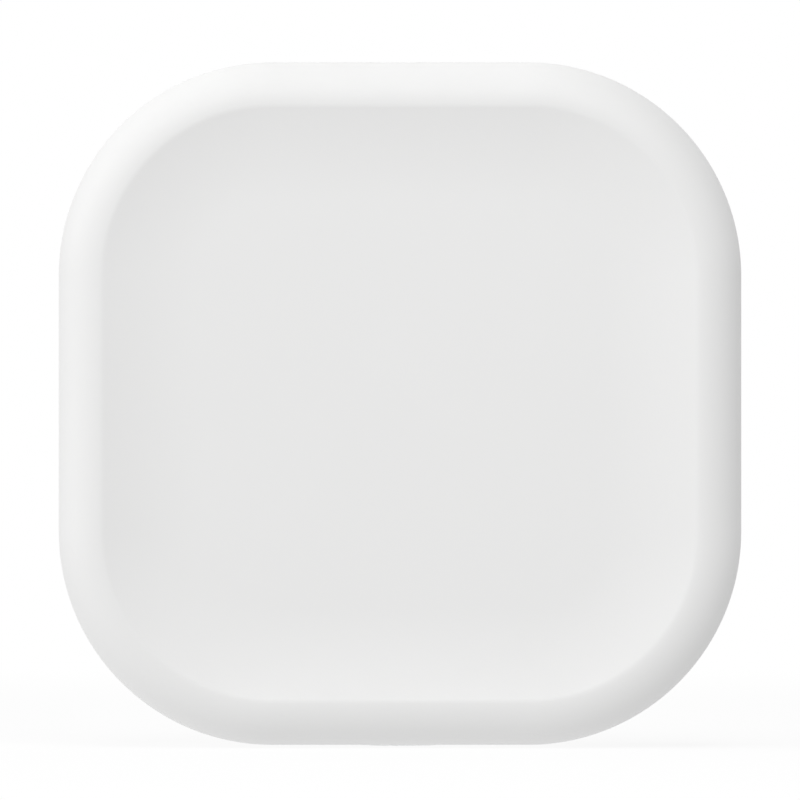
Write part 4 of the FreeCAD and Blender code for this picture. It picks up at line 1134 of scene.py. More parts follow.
@dataclass
class FrontShell:
    """The housing's front: side walls, crowned rim, dished face, snap pockets and board posts.

    Attributes:
        half: Half of the housing's side.
        corner: The outline's corner radius.
        back: Depth of its back edge.
        back_round: Radius of its back edge.
        depth: Depth of the rim's crest.
        rim_width: How far the crest lies inside the outline.
        rim_fall: How far behind the crest the rim's arc starts.
        rim_crown: Radius over the crown.
        crest_round: Radius from the crest into the dish.
        dish_run: Width of the dish's arc, from the crest to the flat floor.
        dish_fall: How far the dish's floor lies behind the crest.
        front_wall: Thickness of the dish's floor.
        wall: Thickness of the side walls.
        inner_round: Radius inside, between the walls and the front.
        window: Half width, half height and depth of the button's window.
        catch: Half width, first depth, last depth and sink of a snap pocket.
        post: X, Z and radius of a board post, with the depth of its end.
        post_hole: Radius and depth of the hole in a post.
    """

    half: float = 32.5 * MM
    corner: float = 20.3 * MM
    back: float = 1.6 * MM
    back_round: float = 0.8 * MM
    depth: float = 30.0 * MM
    rim_width: float = 4.0 * MM
    rim_fall: float = 4.35 * MM
    rim_crown: float = 3.8 * MM
    crest_round: float = 1.4 * MM
    dish_run: float = 9.0 * MM
    dish_fall: float = 1.4 * MM
    front_wall: float = 2.2 * MM
    wall: float = 2.0 * MM
    inner_round: float = 2.5 * MM
    window: tuple[float, float, float] = (4.35 * MM, 2.1 * MM, 16.25 * MM)
    catch: tuple[float, float, float, float] = (4.6 * MM, 4.5 * MM, 6.0 * MM, 0.6 * MM)
    post: tuple[float, float, float, float] = (17.5 * MM, -7.5 * MM, 2.5 * MM, 19.0 * MM)
    post_hole: tuple[float, float] = (1.0 * MM, 4.5 * MM)

    def build(self, finish: Material) -> Piece:
        """Builds the shell and puts it in the CAD node's place.

        Args:
            finish: The housing's finish.

        Returns:
            The shell.
        """
        mesh = ExactMesh()
        here = Place(Vector())
        outline = Outline.block(self.half, self.half, self.corner, 44)
        floor, underside = self.depth - self.dish_fall, self.depth - self.dish_fall - self.front_wall
        mesh.sweep(here, outline, self.face_section())
        mesh.cap(here, outline, floor, self.rim_width + self.dish_run, 1.0)
        start = self.depth - self.rim_fall
        outside = Section().line((self.back + self.back_round, 0.0), (start, 0.0))
        mesh.sweep(here, outline, outside, sides=False)
        inside = self.wall + self.inner_round
        round_start = underside - self.inner_round
        mesh.cap(here, outline, underside, inside, -1.0)
        mesh.sweep(here, outline, Section().arc((round_start, inside), self.inner_round, 0.0, -90.0, 8))
        lining = Section().line((round_start, self.wall), (self.back, self.wall))
        mesh.sweep(here, outline, lining, sides=False)
        edge = Section().line((self.back, self.wall), (self.back, self.back_round))
        edge.arc((self.back + self.back_round, self.back_round), self.back_round, 180.0, 270.0, 6)
        mesh.sweep(here, outline, edge)
        self.sides(mesh, start, round_start)
        self.posts(mesh, underside)
        piece = mesh.build("shell_surface", finish, Body.CASE)
        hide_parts("front_shell")
        return piece

    def face_section(self) -> Section:
        """Gives the rim's two arcs, the crest and the dish's arc."""
        side_arc = self.rim_fall**2 + self.rim_width**2 - 2 * self.rim_fall * self.rim_crown
        side_arc /= 2 * (self.rim_width - self.rim_crown)
        middle = (self.depth - self.rim_crown, self.rim_width)
        first = (self.depth - self.rim_fall, side_arc)
        join = math.degrees(math.atan2(middle[1] - first[1], middle[0] - first[0]))
        slope = math.degrees(2 * math.atan(self.dish_fall / self.dish_run))
        dish_arc = self.dish_run / math.sin(math.radians(slope)) - self.crest_round
        section = Section().arc(first, side_arc, -90.0, join, 10).arc(middle, self.rim_crown, join, 0.0, 12)
        section.arc((self.depth - self.crest_round, self.rim_width), self.crest_round, 0.0, slope, 6)
        floor = self.depth - self.dish_fall
        section.arc((floor + dish_arc, self.rim_width + self.dish_run), dish_arc, 180.0 + slope, 180.0, 16)
        return section

    def sides(self, mesh: ExactMesh, start: float, round_start: float) -> None:
        """Adds the flat parts of the four walls, with the snap pockets and the button's window.

        Args:
            mesh: The mesh to add them to.
            start: Depth at which the outer walls begin to round over.
            round_start: Depth at which the inner walls begin to round over.
        """
        reach, inner = self.half - self.corner, self.half - self.wall
        half_width, half_height, window_depth = self.window
        window = Outline.pill(half_width, half_height, 12)
        opening = half_loop(window, lift=window_depth)
        catch_half, low, high, sink = self.catch
        pocket = [(0.0, low), (catch_half, low), (catch_half, high), (0.0, high)]
        loop = mirrored(pocket)
        forward = -BACK
        for turn in range(4):
            sine, cosine = math.sin(math.pi / 2 * turn), math.cos(math.pi / 2 * turn)
            across, outward = Vector((cosine, 0.0, sine)), Vector((sine, 0.0, -cosine))
            outer = Place(outward * self.half, across, forward, outward)
            inside = Place(outward * inner, across, forward, -outward)
            holes = [opening] if turn == 0 else []
            edge = self.back + self.back_round
            mesh.panel(outer, [(0.0, edge), (reach, edge), (reach, start), (0.0, start)], holes)
            frame_edge = [(0.0, self.back), (reach, self.back), (reach, round_start), (0.0, round_start)]
            mesh.panel(inside, frame_edge, [pocket] + holes)
            mesh.walls(inside, loop, sink)
        mouth = Vector((0.0, -window_depth, -self.half))
        tunnel = Place(mouth, along=forward, up=UP)
        mesh.sweep(tunnel, window, Section().line((self.wall, 0.0), (0.0, 0.0)))

    def posts(self, mesh: ExactMesh, underside: float) -> None:
        """Adds the two posts that carry the radio board.

        Args:
            mesh: The mesh to add them to.
            underside: Depth of the front wall's inner face.
        """
        x, z, radius, end = self.post
        hole_radius, hole_depth = self.post_hole
        ring, root = Outline.circle(radius, 10), underside + 0.05 * MM
        top, seat = root - end, radius - hole_radius
        bottom = top - hole_depth
        section = Section().line((0.0, 0.0), (top, 0.0)).line((top, 0.0), (top, seat))
        section.line((top, seat), (bottom, seat))
        for side in (-x, x):
            place = Place(Vector((side, -root, z)), up=BACK)
            mesh.sweep(place, ring, section)
            mesh.cap(place, ring, bottom, seat, 1.0)


@dataclass
class Assembly:
    """What every sub-assembly shares: making its pieces and putting them in place of CAD nodes.

    Attributes:
        finishes: The finishes, by the name of the material slot that each one fills.
    """

    finishes: dict[str, Material]

    def hang(self, mesh: ExactMesh, name: str, slot: str, place: Place | None = None, *nodes: str) -> Piece:
        """Makes a fixed piece from a mesh and puts it in place of CAD nodes.

        Args:
            mesh: Its mesh.
            name: Its name.
            slot: The material slot that its finish fills.
            place: Where its mesh's own origin and directions lie, if not the frame's.
            nodes: The CAD nodes that it stands for.

        Returns:
            The piece.
        """
        piece = mesh.build(name, self.finishes[slot], Body.CASE, place)
        if nodes:
            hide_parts(*nodes)
        return piece

    def wire(self, name: str, points: list[Vector], radius: float, slot: str) -> None:
        """Bends a round lead through points.

        Args:
            name: The lead's name.
            points: The points that steer it.
            radius: The wire's radius.
            slot: The material slot that its finish fills.
        """
        curve = bpy.data.curves.new(name, "CURVE")
        curve.dimensions, curve.bevel_depth, curve.bevel_resolution = "3D", radius, 3
        curve.use_fill_caps = True
        spline = curve.splines.new("NURBS")
        spline.points.add(len(points) - 1)
        for spot, point in zip(spline.points, points):
            spot.co = (*point, 1.0)
        spline.order_u, spline.use_endpoint_u = 3, True
        curve.materials.append(self.finishes[slot])
        piece = bpy.data.objects.new(name, curve)
        bpy.context.scene.collection.objects.link(piece)
        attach(piece, Body.CASE.value)


@dataclass
class ButtonCap:
    """The pairing button: a crowned cap through the bottom wall, its lip and its stem.

    Attributes:
        half_width: Half of the cap's width.
        half_height: Half of the cap's height.
        reach: From the wall's inner face to the cap's crown.
        edge: Radius round the crown.
        crown: How far the crown rises above its edge.
        bow: How far the crown falls from its middle to its ends.
        lip: How far the lip stands out round the cap.
        flange: The lip's thickness.
        stem: Radius and length of the stem.
        seat: The wall's inner face, as a height below the middle.
        depth: The button's depth.
    """

    half_width: float = 4.25 * MM
    half_height: float = 2.0 * MM
    reach: float = 2.25 * MM
    edge: float = 0.22 * MM
    crown: float = 0.05 * MM
    bow: float = 0.05 * MM
    lip: float = 0.8 * MM
    flange: float = 1.0 * MM
    stem: tuple[float, float] = (1.2 * MM, 0.6 * MM)
    seat: float = 30.5 * MM
    depth: float = 16.25 * MM

    def build(self, finish: Material) -> None:
        """Builds the button and puts it in the CAD node's place.

        Args:
            finish: The milky plastic.
        """
        mesh = ExactMesh()
        cap = Outline.pill(self.half_width, self.half_height, 12, stops=7)
        lip = Outline.pill(self.half_width + self.lip, self.half_height + self.lip, 12)
        shoulder, start = self.reach - self.crown, self.edge * 1.2
        run = self.half_height - start
        arc = (run**2 + self.crown**2) / (2 * self.crown)
        section = Section.through([(0.0, 0.0, 0.0), (shoulder, 0.0, self.edge), (shoulder, start, 0.0)], 6)
        slope = math.degrees(math.asin(run / arc))
        section.arc((self.reach - arc, self.half_height), arc, -slope, 0.0, 6)
        mesh.sweep(HERE, cap, section)
        mesh.bow(self.half_width, self.bow)
        round_lip = 0.15 * MM
        plate = [(-self.flange, 0.0, 0.0), (0.0, 0.0, round_lip), (0.0, self.lip, 0.0)]
        mesh.sweep(HERE, lip, Section.through(plate))
        mesh.cap(HERE, lip, -self.flange, 0.0, -1.0)
        radius, length = self.stem
        mesh.turn(HERE, [(-self.flange - length, 0.0, 0.0), (-self.flange - length, radius, 0.1 * MM),
                         (-self.flange, radius, 0.0)])
        place = Place(Vector((0.0, -self.depth, -self.seat)), *DOWNWARD)
        piece = mesh.build("button_cap", finish, Body.BUTTON, place)
        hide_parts("action_button")


@dataclass
class SnapDome(Assembly):
    """The switch's spring: a thin sheet cap that gives way under the plunger.

    Attributes:
        radius: Radius of its rim.
        rise: Its height at rest.
        sheet: Its thickness.
        travel: How far the plunger pushes it in.
    """

    radius: float = 1.15 * MM
    rise: float = 0.7 * MM
    sheet: float = 0.1 * MM
    # travel: How far the plunger pushes it in. Not used.
    travel: float = 0.3 * MM

    def build(self) -> None:
        """Builds the cap in its rest shape."""
        low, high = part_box("switch_dome")
        floor = Vector(((low.x + high.x) / 2, (low.y + high.y) / 2, high.z))
        outer = (self.radius**2 + self.rise**2) / (2 * self.rise)
        sunk, inner = outer - self.rise, outer - self.sheet
        rim = math.degrees(math.acos(sunk / outer))
        inner_rim = math.acos(sunk / inner)
        section = Section().arc((-sunk, 0.0), outer, -rim, 0.0, 12)
        section.arc((-sunk, 0.0), inner, 0.0, -math.degrees(inner_rim), 12)
        section.line((0.0, -inner * math.sin(inner_rim)), (0.0, -self.radius))
        cap = ExactMesh()
        cap.sweep(HERE, Outline.circle(0.0, 10), section)
        piece = self.hang(cap, "dome_spring", "tin_sheet", Place(floor, *DOWNWARD), "switch_dome")
        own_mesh(piece)


class Facing(Enum):
    """Which way a fastener's head or a part's top faces."""

    FRONT = "front"
    WALL = "wall"


@dataclass
class Screw:
    """Pan-head screw with a cross recess and a cut thread.

    Attributes:
        head: The head's radius.
        height: The head's height.
        flat: Share of the head's radius that is flat on top.
        core: Radius at the thread's root.
        crest: Radius at the thread's crest.
        pitch: The thread's pitch.
        arm: Half length, half width and depth of the recess.
    """

    head: float = 1.9 * MM
    height: float = 1.3 * MM
    flat: float = 0.62
    core: float = 0.74 * MM
    crest: float = 0.95 * MM
    pitch: float = 0.7 * MM
    arm: tuple[float, float, float] = (1.05 * MM, 0.2 * MM, 0.7 * MM)

    def build(self, shop: Assembly, node: str, facing: Facing) -> None:
        """Builds one screw in a CAD node's place.

        Args:
            shop: The assembly that hangs it.
            node: The CAD node.
            facing: Which way its head faces.
        """
        low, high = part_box(node)
        x, z = (low.x + high.x) / 2, (low.z + high.z) / 2
        if facing is Facing.FRONT:
            place = Place(Vector((x, low.y + self.height, z)))
        else:
            place = Place(Vector((x, high.y - self.height, z)), *WALLWARD)
        mesh = ExactMesh()
        flat = self.head * self.flat
        inner, cross = flat * 0.95, cross_half(*self.arm[:2])
        rim = [(0.0, self.core, 0.0), (0.0, self.head, 0.12 * MM), (self.height * 0.55, self.head, 0.4 * MM)]
        mesh.turn(HERE, rim + [(self.height, flat, 0.25 * MM), (self.height, inner, 0.0)], 8)
        top = Place(UP * self.height, *AXES)
        mesh.panel(top, half_loop(Outline.circle(inner, 8)), [cross])
        mesh.walls(top, mirrored(cross), self.arm[2])
        self.thread(mesh, high.y - low.y - self.height)
        shop.hang(mesh, node + "_cut", "zinc_steel", place, node)

    def thread(self, mesh: ExactMesh, grip: float) -> None:
        """Winds the thread down the shank.

        Args:
            mesh: The screw's mesh.
            grip: The shank's length.
        """
        steps, lands = 14, ((0.0, self.core), (0.35, self.core), (0.68, self.crest), (1.0, self.core))
        turns = grip / self.pitch - 1.0
        for step in range(round(turns * steps)):
            ring = []
            for number in (step, step + 1):
                angle = math.tau * number / steps
                out = Vector((math.cos(angle), math.sin(angle), 0.0))
                drop = number / steps * self.pitch
                taper = min(1.0, 0.35 + (grip - drop) / (2.2 * self.pitch))
                ring.append([(out, out * radius * taper - UP * (drop + share * self.pitch))
                             for share, radius in lands])
            for number in range(3):
                (out, first), (_, second) = ring[0][number], ring[0][number + 1]
                (next_out, third), (_, fourth) = ring[1][number], ring[1][number + 1]
                slope = (second - first).normalized()
                normal = (out - slope * out.dot(slope)).normalized()
                turned = (next_out - slope * next_out.dot(slope)).normalized()
                mesh.face([first, third, fourth, second], [normal, turned, turned, normal])
        tip = [(-grip, 0.0, 0.0), (-grip, self.core * 0.4, 0.0), (-grip + self.pitch, self.core * 0.7, 0.0)]
        mesh.turn(HERE, tip + [(-grip + self.pitch, 0.0, 0.0)], 4)


@dataclass
class CanCapacitor:
    """Electrolytic capacitor: a sleeve shrunk round the can's bead and top edge, and the scored top.

    Attributes:
        radius: The sleeve's radius.
        bead: Height and depth of the rolled bead's groove.
        shoulder: Radius of the top edge.
        top: Radius of the bare top inside the sleeve.
        score: Half length, half width and depth of the vent's score lines.
    """

    radius: float = 4.0 * MM
    bead: tuple[float, float] = (1.9 * MM, 0.3 * MM)
    shoulder: float = 0.6 * MM
    top: float = 3.0 * MM
    score: tuple[float, float, float] = (2.3 * MM, 0.1 * MM, 0.12 * MM)

    def build(self, shop: Assembly, node: str) -> None:
        """Builds one capacitor in a CAD node's place.

        Args:
            shop: The assembly that hangs it.
            node: The CAD node.
        """
        place, size = foot_of(node)
        height, (level, groove) = size.y, self.bead
        sleeve = ExactMesh()
        foot = [(0.0, self.top, 0.0), (0.0, self.radius, 0.35 * MM)]
        waist = [(level - 0.35 * MM, self.radius, 0.3 * MM), (level, self.radius - groove, 0.25 * MM)]
        waist.append((level + 0.35 * MM, self.radius, 0.3 * MM))
        over = [(height, self.radius, self.shoulder), (height, self.top, 0.05 * MM)]
        sleeve.turn(HERE, foot + waist + over + [(height - 0.12 * MM, self.top, 0.0)], 14)
        sleeve.cap(HERE, Outline.circle(self.top, 14), 0.0, 0.0, -1.0)
        shop.hang(sleeve, node + "_sleeve", "can_sleeve", place, node)
        disc = ExactMesh()
        seat = Place(UP * (height - 0.1 * MM), *AXES)
        disc.panel(seat, half_loop(Outline.circle(self.top, 14)), [cross_half(*self.score[:2])])
        disc.walls(seat, mirrored(cross_half(*self.score[:2])), self.score[2])
        shop.hang(disc, node + "_top", "tin_sheet", place)


@dataclass
class Chip:
    """Moulded chip with bent leads out of two sides.

    Attributes:
        node: The CAD node that it stands for.
        body: Half width and half length of its moulding.
        leads: How many leads each side has.
        pitch: The leads' pitch.
        lead_width: Width of one lead.
        lead_sheet: The leads' thickness.
        stand: How far the moulding stands off the board.
    """

    node: str
    body: tuple[float, float]
    leads: int
    pitch: float
    lead_width: float
    lead_sheet: float = 0.25 * MM
    stand: float = 0.12 * MM

    def build(self, shop: Assembly) -> None:
        """Builds the moulding and its leads.

        Args:
            shop: The assembly that hangs them.
        """
        place, size = foot_of(self.node)
        height, reach = size.y, size.z / 2
        half_width, half_length = self.body
        middle, lip = height * 0.48, 0.3 * MM
        outline = Outline.block(half_width, half_length, lip, 4)
        mesh = ExactMesh()
        lower = [(self.stand, lip, 0.0), (self.stand, 0.16 * MM, 0.08 * MM), (middle, 0.0, 0.0)]
        upper = [(height, 0.18 * MM, 0.1 * MM), (height, lip, 0.0)]
        mesh.sweep(HERE, outline, Section.through(lower + upper))
        mesh.cap(HERE, outline, self.stand, lip, -1.0)
        top = Place(UP * height, *AXES)
        mark = Outline.circle(min(half_width, half_length) * 0.16, 5)
        lift = half_length * 0.55
        mesh.panel(top, half_loop(outline, lip), [half_loop(mark, 0.0, lift)])
        mesh.walls(top, mirrored(half_loop(mark, 0.0, lift)), 0.08 * MM)
        shop.hang(mesh, self.node + "_moulding", "chip_black", place, self.node)
        feet, side_view = ExactMesh(), self.lead(half_length, reach, middle)
        for number in range(self.leads):
            shift = (number - (self.leads - 1) / 2) * self.pitch
            for side in (1.0, -1.0):
                spot = Place(RIGHT * shift, RIGHT * side, BACK * side, UP)
                feet.strip(spot, side_view, self.lead_width)
        shop.hang(feet, self.node + "_leads", "tin_sheet", place, self.node)

    def lead(self, start: float, end: float, middle: float) -> list[tuple[float, float]]:
        """Draws one lead's side view, from the moulding out and down to the board.

        Args:
            start: Where it leaves the moulding.
            end: Where its foot ends.
            middle: The height at which it leaves.

        Returns:
            The corners of its side view, as distance and height.
        """
        sheet, run, root = self.lead_sheet, end - start, start - 0.1 * MM
        over = [(root, middle + sheet), (start + run * 0.3, middle + sheet), (start + run * 0.62, sheet)]
        under = [(start + run * 0.42, 0.0), (start + run * 0.16, middle), (root, middle)]
        return over + [(end, sheet), (end, 0.0)] + under


@dataclass
class BoardParts(Assembly):
    """The leaded parts that stand on the power board.

    Attributes:
        board: Depth of the power board's front face.
        lead: Radius of a lead.
        lead_pitch: How far a part's two leads stand from its middle.
    """

    board: float = 9.6 * MM
    lead: float = 0.3 * MM
    lead_pitch: float = 2.5 * MM

    def build(self) -> None:
        """Builds every leaded part and the winding."""
        self.varistor()
        self.film_capacitor()
        self.fuse()
        self.choke()
        self.winding()

    def varistor(self) -> None:
        """Builds the dipped disc and its coated leads."""
        low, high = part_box("varistor")
        half, radius = (high.x - low.x) / 2, (high.z - low.z) / 2
        centre = Vector(((low.x + high.x) / 2, low.y + radius, (low.z + high.z) / 2))
        disc, rim = ExactMesh(), half * 0.55
        left = [(-half, 0.0, 0.0), (-half, radius * 0.72, 1.2 * MM), (-rim, radius, 0.9 * MM)]
        right = [(rim, radius, 0.9 * MM), (half, radius * 0.72, 1.2 * MM), (half, 0.0, 0.0)]
        disc.turn(HERE, left + right, 14)
        self.hang(disc, "varistor_disc", "varistor_blue", Place(centre, *SIDEWAYS), "varistor")
        legs, collars = ExactMesh(), ExactMesh()
        thin, thick, rise, start = self.lead, self.lead * 2.3, 2.1 * MM, 0.85 * MM
        for side in (-1.0, 1.0):
            foot = Place(Vector((centre.x, -self.board, centre.z + side * self.lead_pitch)))
            legs.turn(foot, [(0.0, 0.0, 0.0), (0.0, thin, 0.0), (rise, thin, 0.0), (rise, 0.0, 0.0)], 5)
            cone = [(start, 0.0, 0.0), (start, thin * 1.2, 0.08 * MM), (rise * 0.75, thick, 0.4 * MM)]
            collars.turn(foot, cone + [(rise + 0.8 * MM, thick, 0.0), (rise + 0.8 * MM, 0.0, 0.0)], 6)
        self.hang(legs, "varistor_leads", "tin_sheet", None, "varistor")
        self.hang(collars, "varistor_collars", "varistor_blue", None, "varistor")

    def film_capacitor(self) -> None:
        """Builds the moulded box of the film capacitor, on four short feet."""
        place, size = foot_of("safety_capacitor")
        half = size / 2
        box, stand = ExactMesh(), 0.4 * MM
        raised = Place(UP * stand, *AXES)
        outline = Outline.block(half.x, half.z, 0.6 * MM, 6)
        box.block(raised, outline, 2 * half.y - stand, 0.4 * MM, 0.06 * MM)
        for x in (-1.0, 1.0):
            for z in (-1.0, 1.0):
                corner = Vector((x * (half.x - 0.6 * MM), z * (half.z - 0.6 * MM), 0.0))
                foot = Outline.block(0.4 * MM, 0.4 * MM, 0.1 * MM, 2)
                box.block(Place(corner, *AXES), foot, stand + 0.1 * MM, 0.02 * MM)
        self.hang(box, "film_box", "film_yellow", place, "safety_capacitor")

    def fuse(self) -> None:
        """Builds the dog-bone barrel of the fuse resistor and its bent leads."""
        low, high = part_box("fuse_resistor")
        radius = (high.z - low.z) / 2
        centre = Vector(((low.x + high.x) / 2, high.y - radius, (low.z + high.z) / 2))
        half, waist = 3.2 * MM, radius * 0.86
        barrel = ExactMesh()
        knob = [(-half, 0.0, 0.0), (-half, radius * 0.75, 0.35 * MM), (-half * 0.8, radius, 0.5 * MM)]
        neck = [(-half * 0.5, waist, 0.8 * MM), (half * 0.5, waist, 0.8 * MM)]
        knob_again = [(half * 0.8, radius, 0.5 * MM), (half, radius * 0.75, 0.35 * MM), (half, 0.0, 0.0)]
        barrel.turn(HERE, knob + neck + knob_again, 12)
        self.hang(barrel, "fuse_barrel", "fuse_green", Place(centre, *SIDEWAYS), "fuse_resistor")
        reach = (high.x - low.x) / 2 - self.lead
        for side in (-1.0, 1.0):
            start = centre + RIGHT * side * (half - 0.2 * MM)
            bend = centre + RIGHT * side * reach
            end = bend + BACK * (radius + 1.8 * MM)
            points = [start, start.lerp(bend, 0.5), bend, bend.lerp(end, 0.4), end]
            self.wire("fuse_lead_" + ("left" if side < 0 else "right"), points, self.lead, "tin_sheet")

    def choke(self) -> None:
        """Builds the drum's two flanges and core, and the wire wound round it."""
        place, size = foot_of("filter_choke")
        radius, height = size.x / 2, size.y
        flange, core = 1.0 * MM, radius * 0.6
        drum = ExactMesh()
        foot = [(0.0, 0.0, 0.0), (0.0, radius, 0.2 * MM), (flange, radius, 0.2 * MM), (flange, core, 0.0)]
        head = [(height - flange, core, 0.0), (height - flange, radius, 0.2 * MM), (height, radius, 0.2 * MM)]
        seat = height - 0.4 * MM
        eye = [(height, 0.6 * MM, 0.1 * MM), (seat, 0.6 * MM, 0.0), (seat, 0.0, 0.0)]
        drum.turn(HERE, foot + head + eye, 12)
        self.hang(drum, "choke_drum", "choke_black", place, "filter_choke")
        turns, coil = 11, ExactMesh()
        step = (height - 2 * flange) / turns
        section = Section()
        for number in range(turns):
            middle = (flange + step * (number + 0.5), step / 2 - radius * 0.85)
            section.arc(middle, step / 2, 180.0, 360.0, 5)
        coil.sweep(HERE, Outline.circle(0.0, 12), section)
        self.hang(coil, "choke_winding", "copper_strip", place, "filter_choke")

    def winding(self) -> None:
        """Builds the transformer's winding as three wraps of tape over the wire, with the last wrap's end."""
        low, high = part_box("transformer_winding")
        half = (high - low) / 2
        place = Place((low + high) / 2, *AXES)
        outline = Outline.block(half.x, half.y, 1.2 * MM, 8)
        third, step = half.z / 3, 0.06 * MM
        corners = [(-half.z, 1.2 * MM, 0.0), (-half.z, 0.12 * MM, 0.1 * MM), (-third, 0.12 * MM, 0.0)]
        corners += [(-third, step, 0.03 * MM), (third, step, 0.0), (third, 0.0, 0.03 * MM)]
        corners += [(half.z, 0.0, 0.15 * MM), (half.z, 1.2 * MM, 0.0)]
        wrap = ExactMesh()
        wrap.sweep(HERE, outline, Section.through(corners))
        self.hang(wrap, "winding_wrap", "tape_yellow", place, "transformer_winding")


@dataclass
class ChipGrains(Assembly):
    """Small chip resistors and capacitors with tinned ends.

    Attributes:
        cap: Length of a tinned end.
        skin: How far an end stands proud of the ceramic.
    """

    cap: float = 0.28 * MM
    skin: float = 0.02 * MM

    def build(self, node: str) -> None:
        """Builds the parts of one CAD node, each where its solid stands.

        Args:
            node: The CAD node that holds them.
        """
        grains, ends = ExactMesh(), ExactMesh()
        for low, high in self.solids(node):
            half = (high - low) / 2
            foot = Place(Vector((low.x + half.x, high.y, low.z + half.z)))
            core = Outline.block(half.x - self.skin, half.z - self.skin, 0.05 * MM, 2)
            grains.block(foot, core, 2 * half.y - self.skin, 0.04 * MM)
            for side in (-1.0, 1.0):
                shift = RIGHT * side * (half.x - self.cap / 2)
                end = Outline.block(self.cap / 2, half.z, 0.06 * MM, 3)
                ends.block(Place(foot.origin + shift), end, 2 * half.y, 0.05 * MM)
        self.hang(grains, node + "_ceramic", "passive_tan", None, node)
        self.hang(ends, node + "_ends", "tin_sheet", None, node)

    @staticmethod
    def solids(node: str) -> list[tuple[Vector, Vector]]:
        """Finds the box of each separate solid in a CAD node.

        Args:
            node: The CAD node.

        Returns:
            Each solid's lowest and highest corner.
        """
        mesh = bmesh.new()
        mesh.from_mesh(frame["nodes"][node].data)
        bmesh.ops.remove_doubles(mesh, verts=mesh.verts, dist=0.01 * MM)
        left, boxes = set(mesh.verts), []
        while left:
            island, edge = set(), [next(iter(left))]
            while edge:
                vertex = edge.pop()
                if vertex not in island:
                    island.add(vertex)
                    edge += [link.other_vert(vertex) for link in vertex.link_edges]
            left -= island
            sides = [[vertex.co[axis] for vertex in island] for axis in range(3)]
            boxes.append((Vector(map(min, sides)), Vector(map(max, sides))))
        mesh.free()
        return sorted(boxes, key=lambda box: tuple(box[0]))


@dataclass
class SolderJoints(Assembly):
    """Solder fillets where leads come through the boards.

    Attributes:
        radius: Radius of a fillet's foot.
        rise: A fillet's height.
        pin: Radius of the cut lead that stands out of it.
        near: How far a can's two leads stand from its middle.
        wide: The same for the disc and the film box, and the pitch of the bobbin's pins.
        margin: How far the bobbin's pins stand inside its ends.
        back: Depth of the power board's back face.
        front: Depth of the radio board's front face.
    """

    radius: float = 0.85 * MM
    rise: float = 0.75 * MM
    pin: float = 0.3 * MM
    near: float = 1.75 * MM
    wide: float = 2.5 * MM
    margin: float = 1.0 * MM
    back: float = 8.0 * MM
    front: float = 19.0 * MM

    def build(self) -> None:
        """Builds the fillets on both boards."""
        mesh = ExactMesh()
        for x, z in self.lead_places() + self.pin_places():
            self.fillet(mesh, Place(Vector((x, -self.back, z)), *WALLWARD))
        self.hang(mesh, "power_board_joints", "tin_sheet")
        mesh = ExactMesh()
        for x, z in self.pin_places():
            self.fillet(mesh, Place(Vector((x, -self.front, z))))
        self.hang(mesh, "radio_board_joints", "tin_sheet")

    def fillet(self, mesh: ExactMesh, place: Place) -> None:
        """Adds one fillet with its cut lead.

        Args:
            mesh: The mesh to add it to.
            place: The middle of its foot.
        """
        end = self.rise * 1.35
        slope = [(0.0, self.radius, 0.0), (self.rise * 0.3, self.radius * 0.62, 0.5 * MM)]
        tip = [(self.rise, self.pin, 0.0), (end, self.pin, 0.06 * MM), (end, 0.0, 0.0)]
        mesh.turn(place, slope + tip, 5)

    def pin_places(self) -> list[tuple[float, float]]:
        """Gives the X and Z of the six header pins."""
        low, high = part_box("header_pins")
        half = (high.z - low.z) / 2
        first, last = low.x + half, high.x - half
        return [(first + (last - first) * number / 5, low.z + half) for number in range(6)]

    def lead_places(self) -> list[tuple[float, float]]:
        """Gives the X and Z of the leads of the parts on the power board."""
        places = []
        for node in ("input_capacitor_1", "input_capacitor_2", "output_capacitor", "filter_choke"):
            spot = foot_of(node)[0].origin
            places += [(spot.x + side * self.near, spot.z) for side in (-1.0, 1.0)]
        for node in ("varistor", "safety_capacitor"):
            spot = foot_of(node)[0].origin
            places += [(spot.x, spot.z + side * self.wide) for side in (-1.0, 1.0)]
        low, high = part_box("fuse_resistor")
        places += [(x, (low.z + high.z) / 2) for x in (low.x + self.pin, high.x - self.pin)]
        low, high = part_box("transformer_bobbin")
        for z in (low.z + self.margin, high.z - self.margin):
            places += [((low.x + high.x) / 2 + shift * self.wide, z) for shift in (-1.5, -0.5, 0.5, 1.5)]
        return places


def break_edges(node: str, width: float) -> None:
    """Rounds the sharp edges of a CAD node that keeps its shape.

    Args:
        node: The CAD node's name.
        width: How far from each edge the rounding starts.
    """
    piece = frame["nodes"][node]
    weld = piece.modifiers.new("weld", "WELD")
    weld.merge_threshold = 0.001 * MM
    rounding = piece.modifiers.new("broken_edges", "BEVEL")
    rounding.width, rounding.segments, rounding.limit_method = width, 3, "ANGLE"
    rounding.harden_normals = True
    LOG.info("%s has its edges broken", node)


def dress_kept_parts(finishes: dict[str, Material]) -> None:
    """Puts its finish on every CAD node that no piece has replaced.

    Args:
        finishes: The finishes by material slot.
    """
    for part in frame["record"]["subparts"]:
        piece = frame["nodes"][part["node"]]
        if piece.hide_render:
            continue
        for slot in piece.material_slots:
            slot.link = "OBJECT"
            slot.material = finishes[part["material_slot"]]
        LOG.info("%s keeps its shape, finish %s", part["node"], finishes[part["material_slot"]].name)


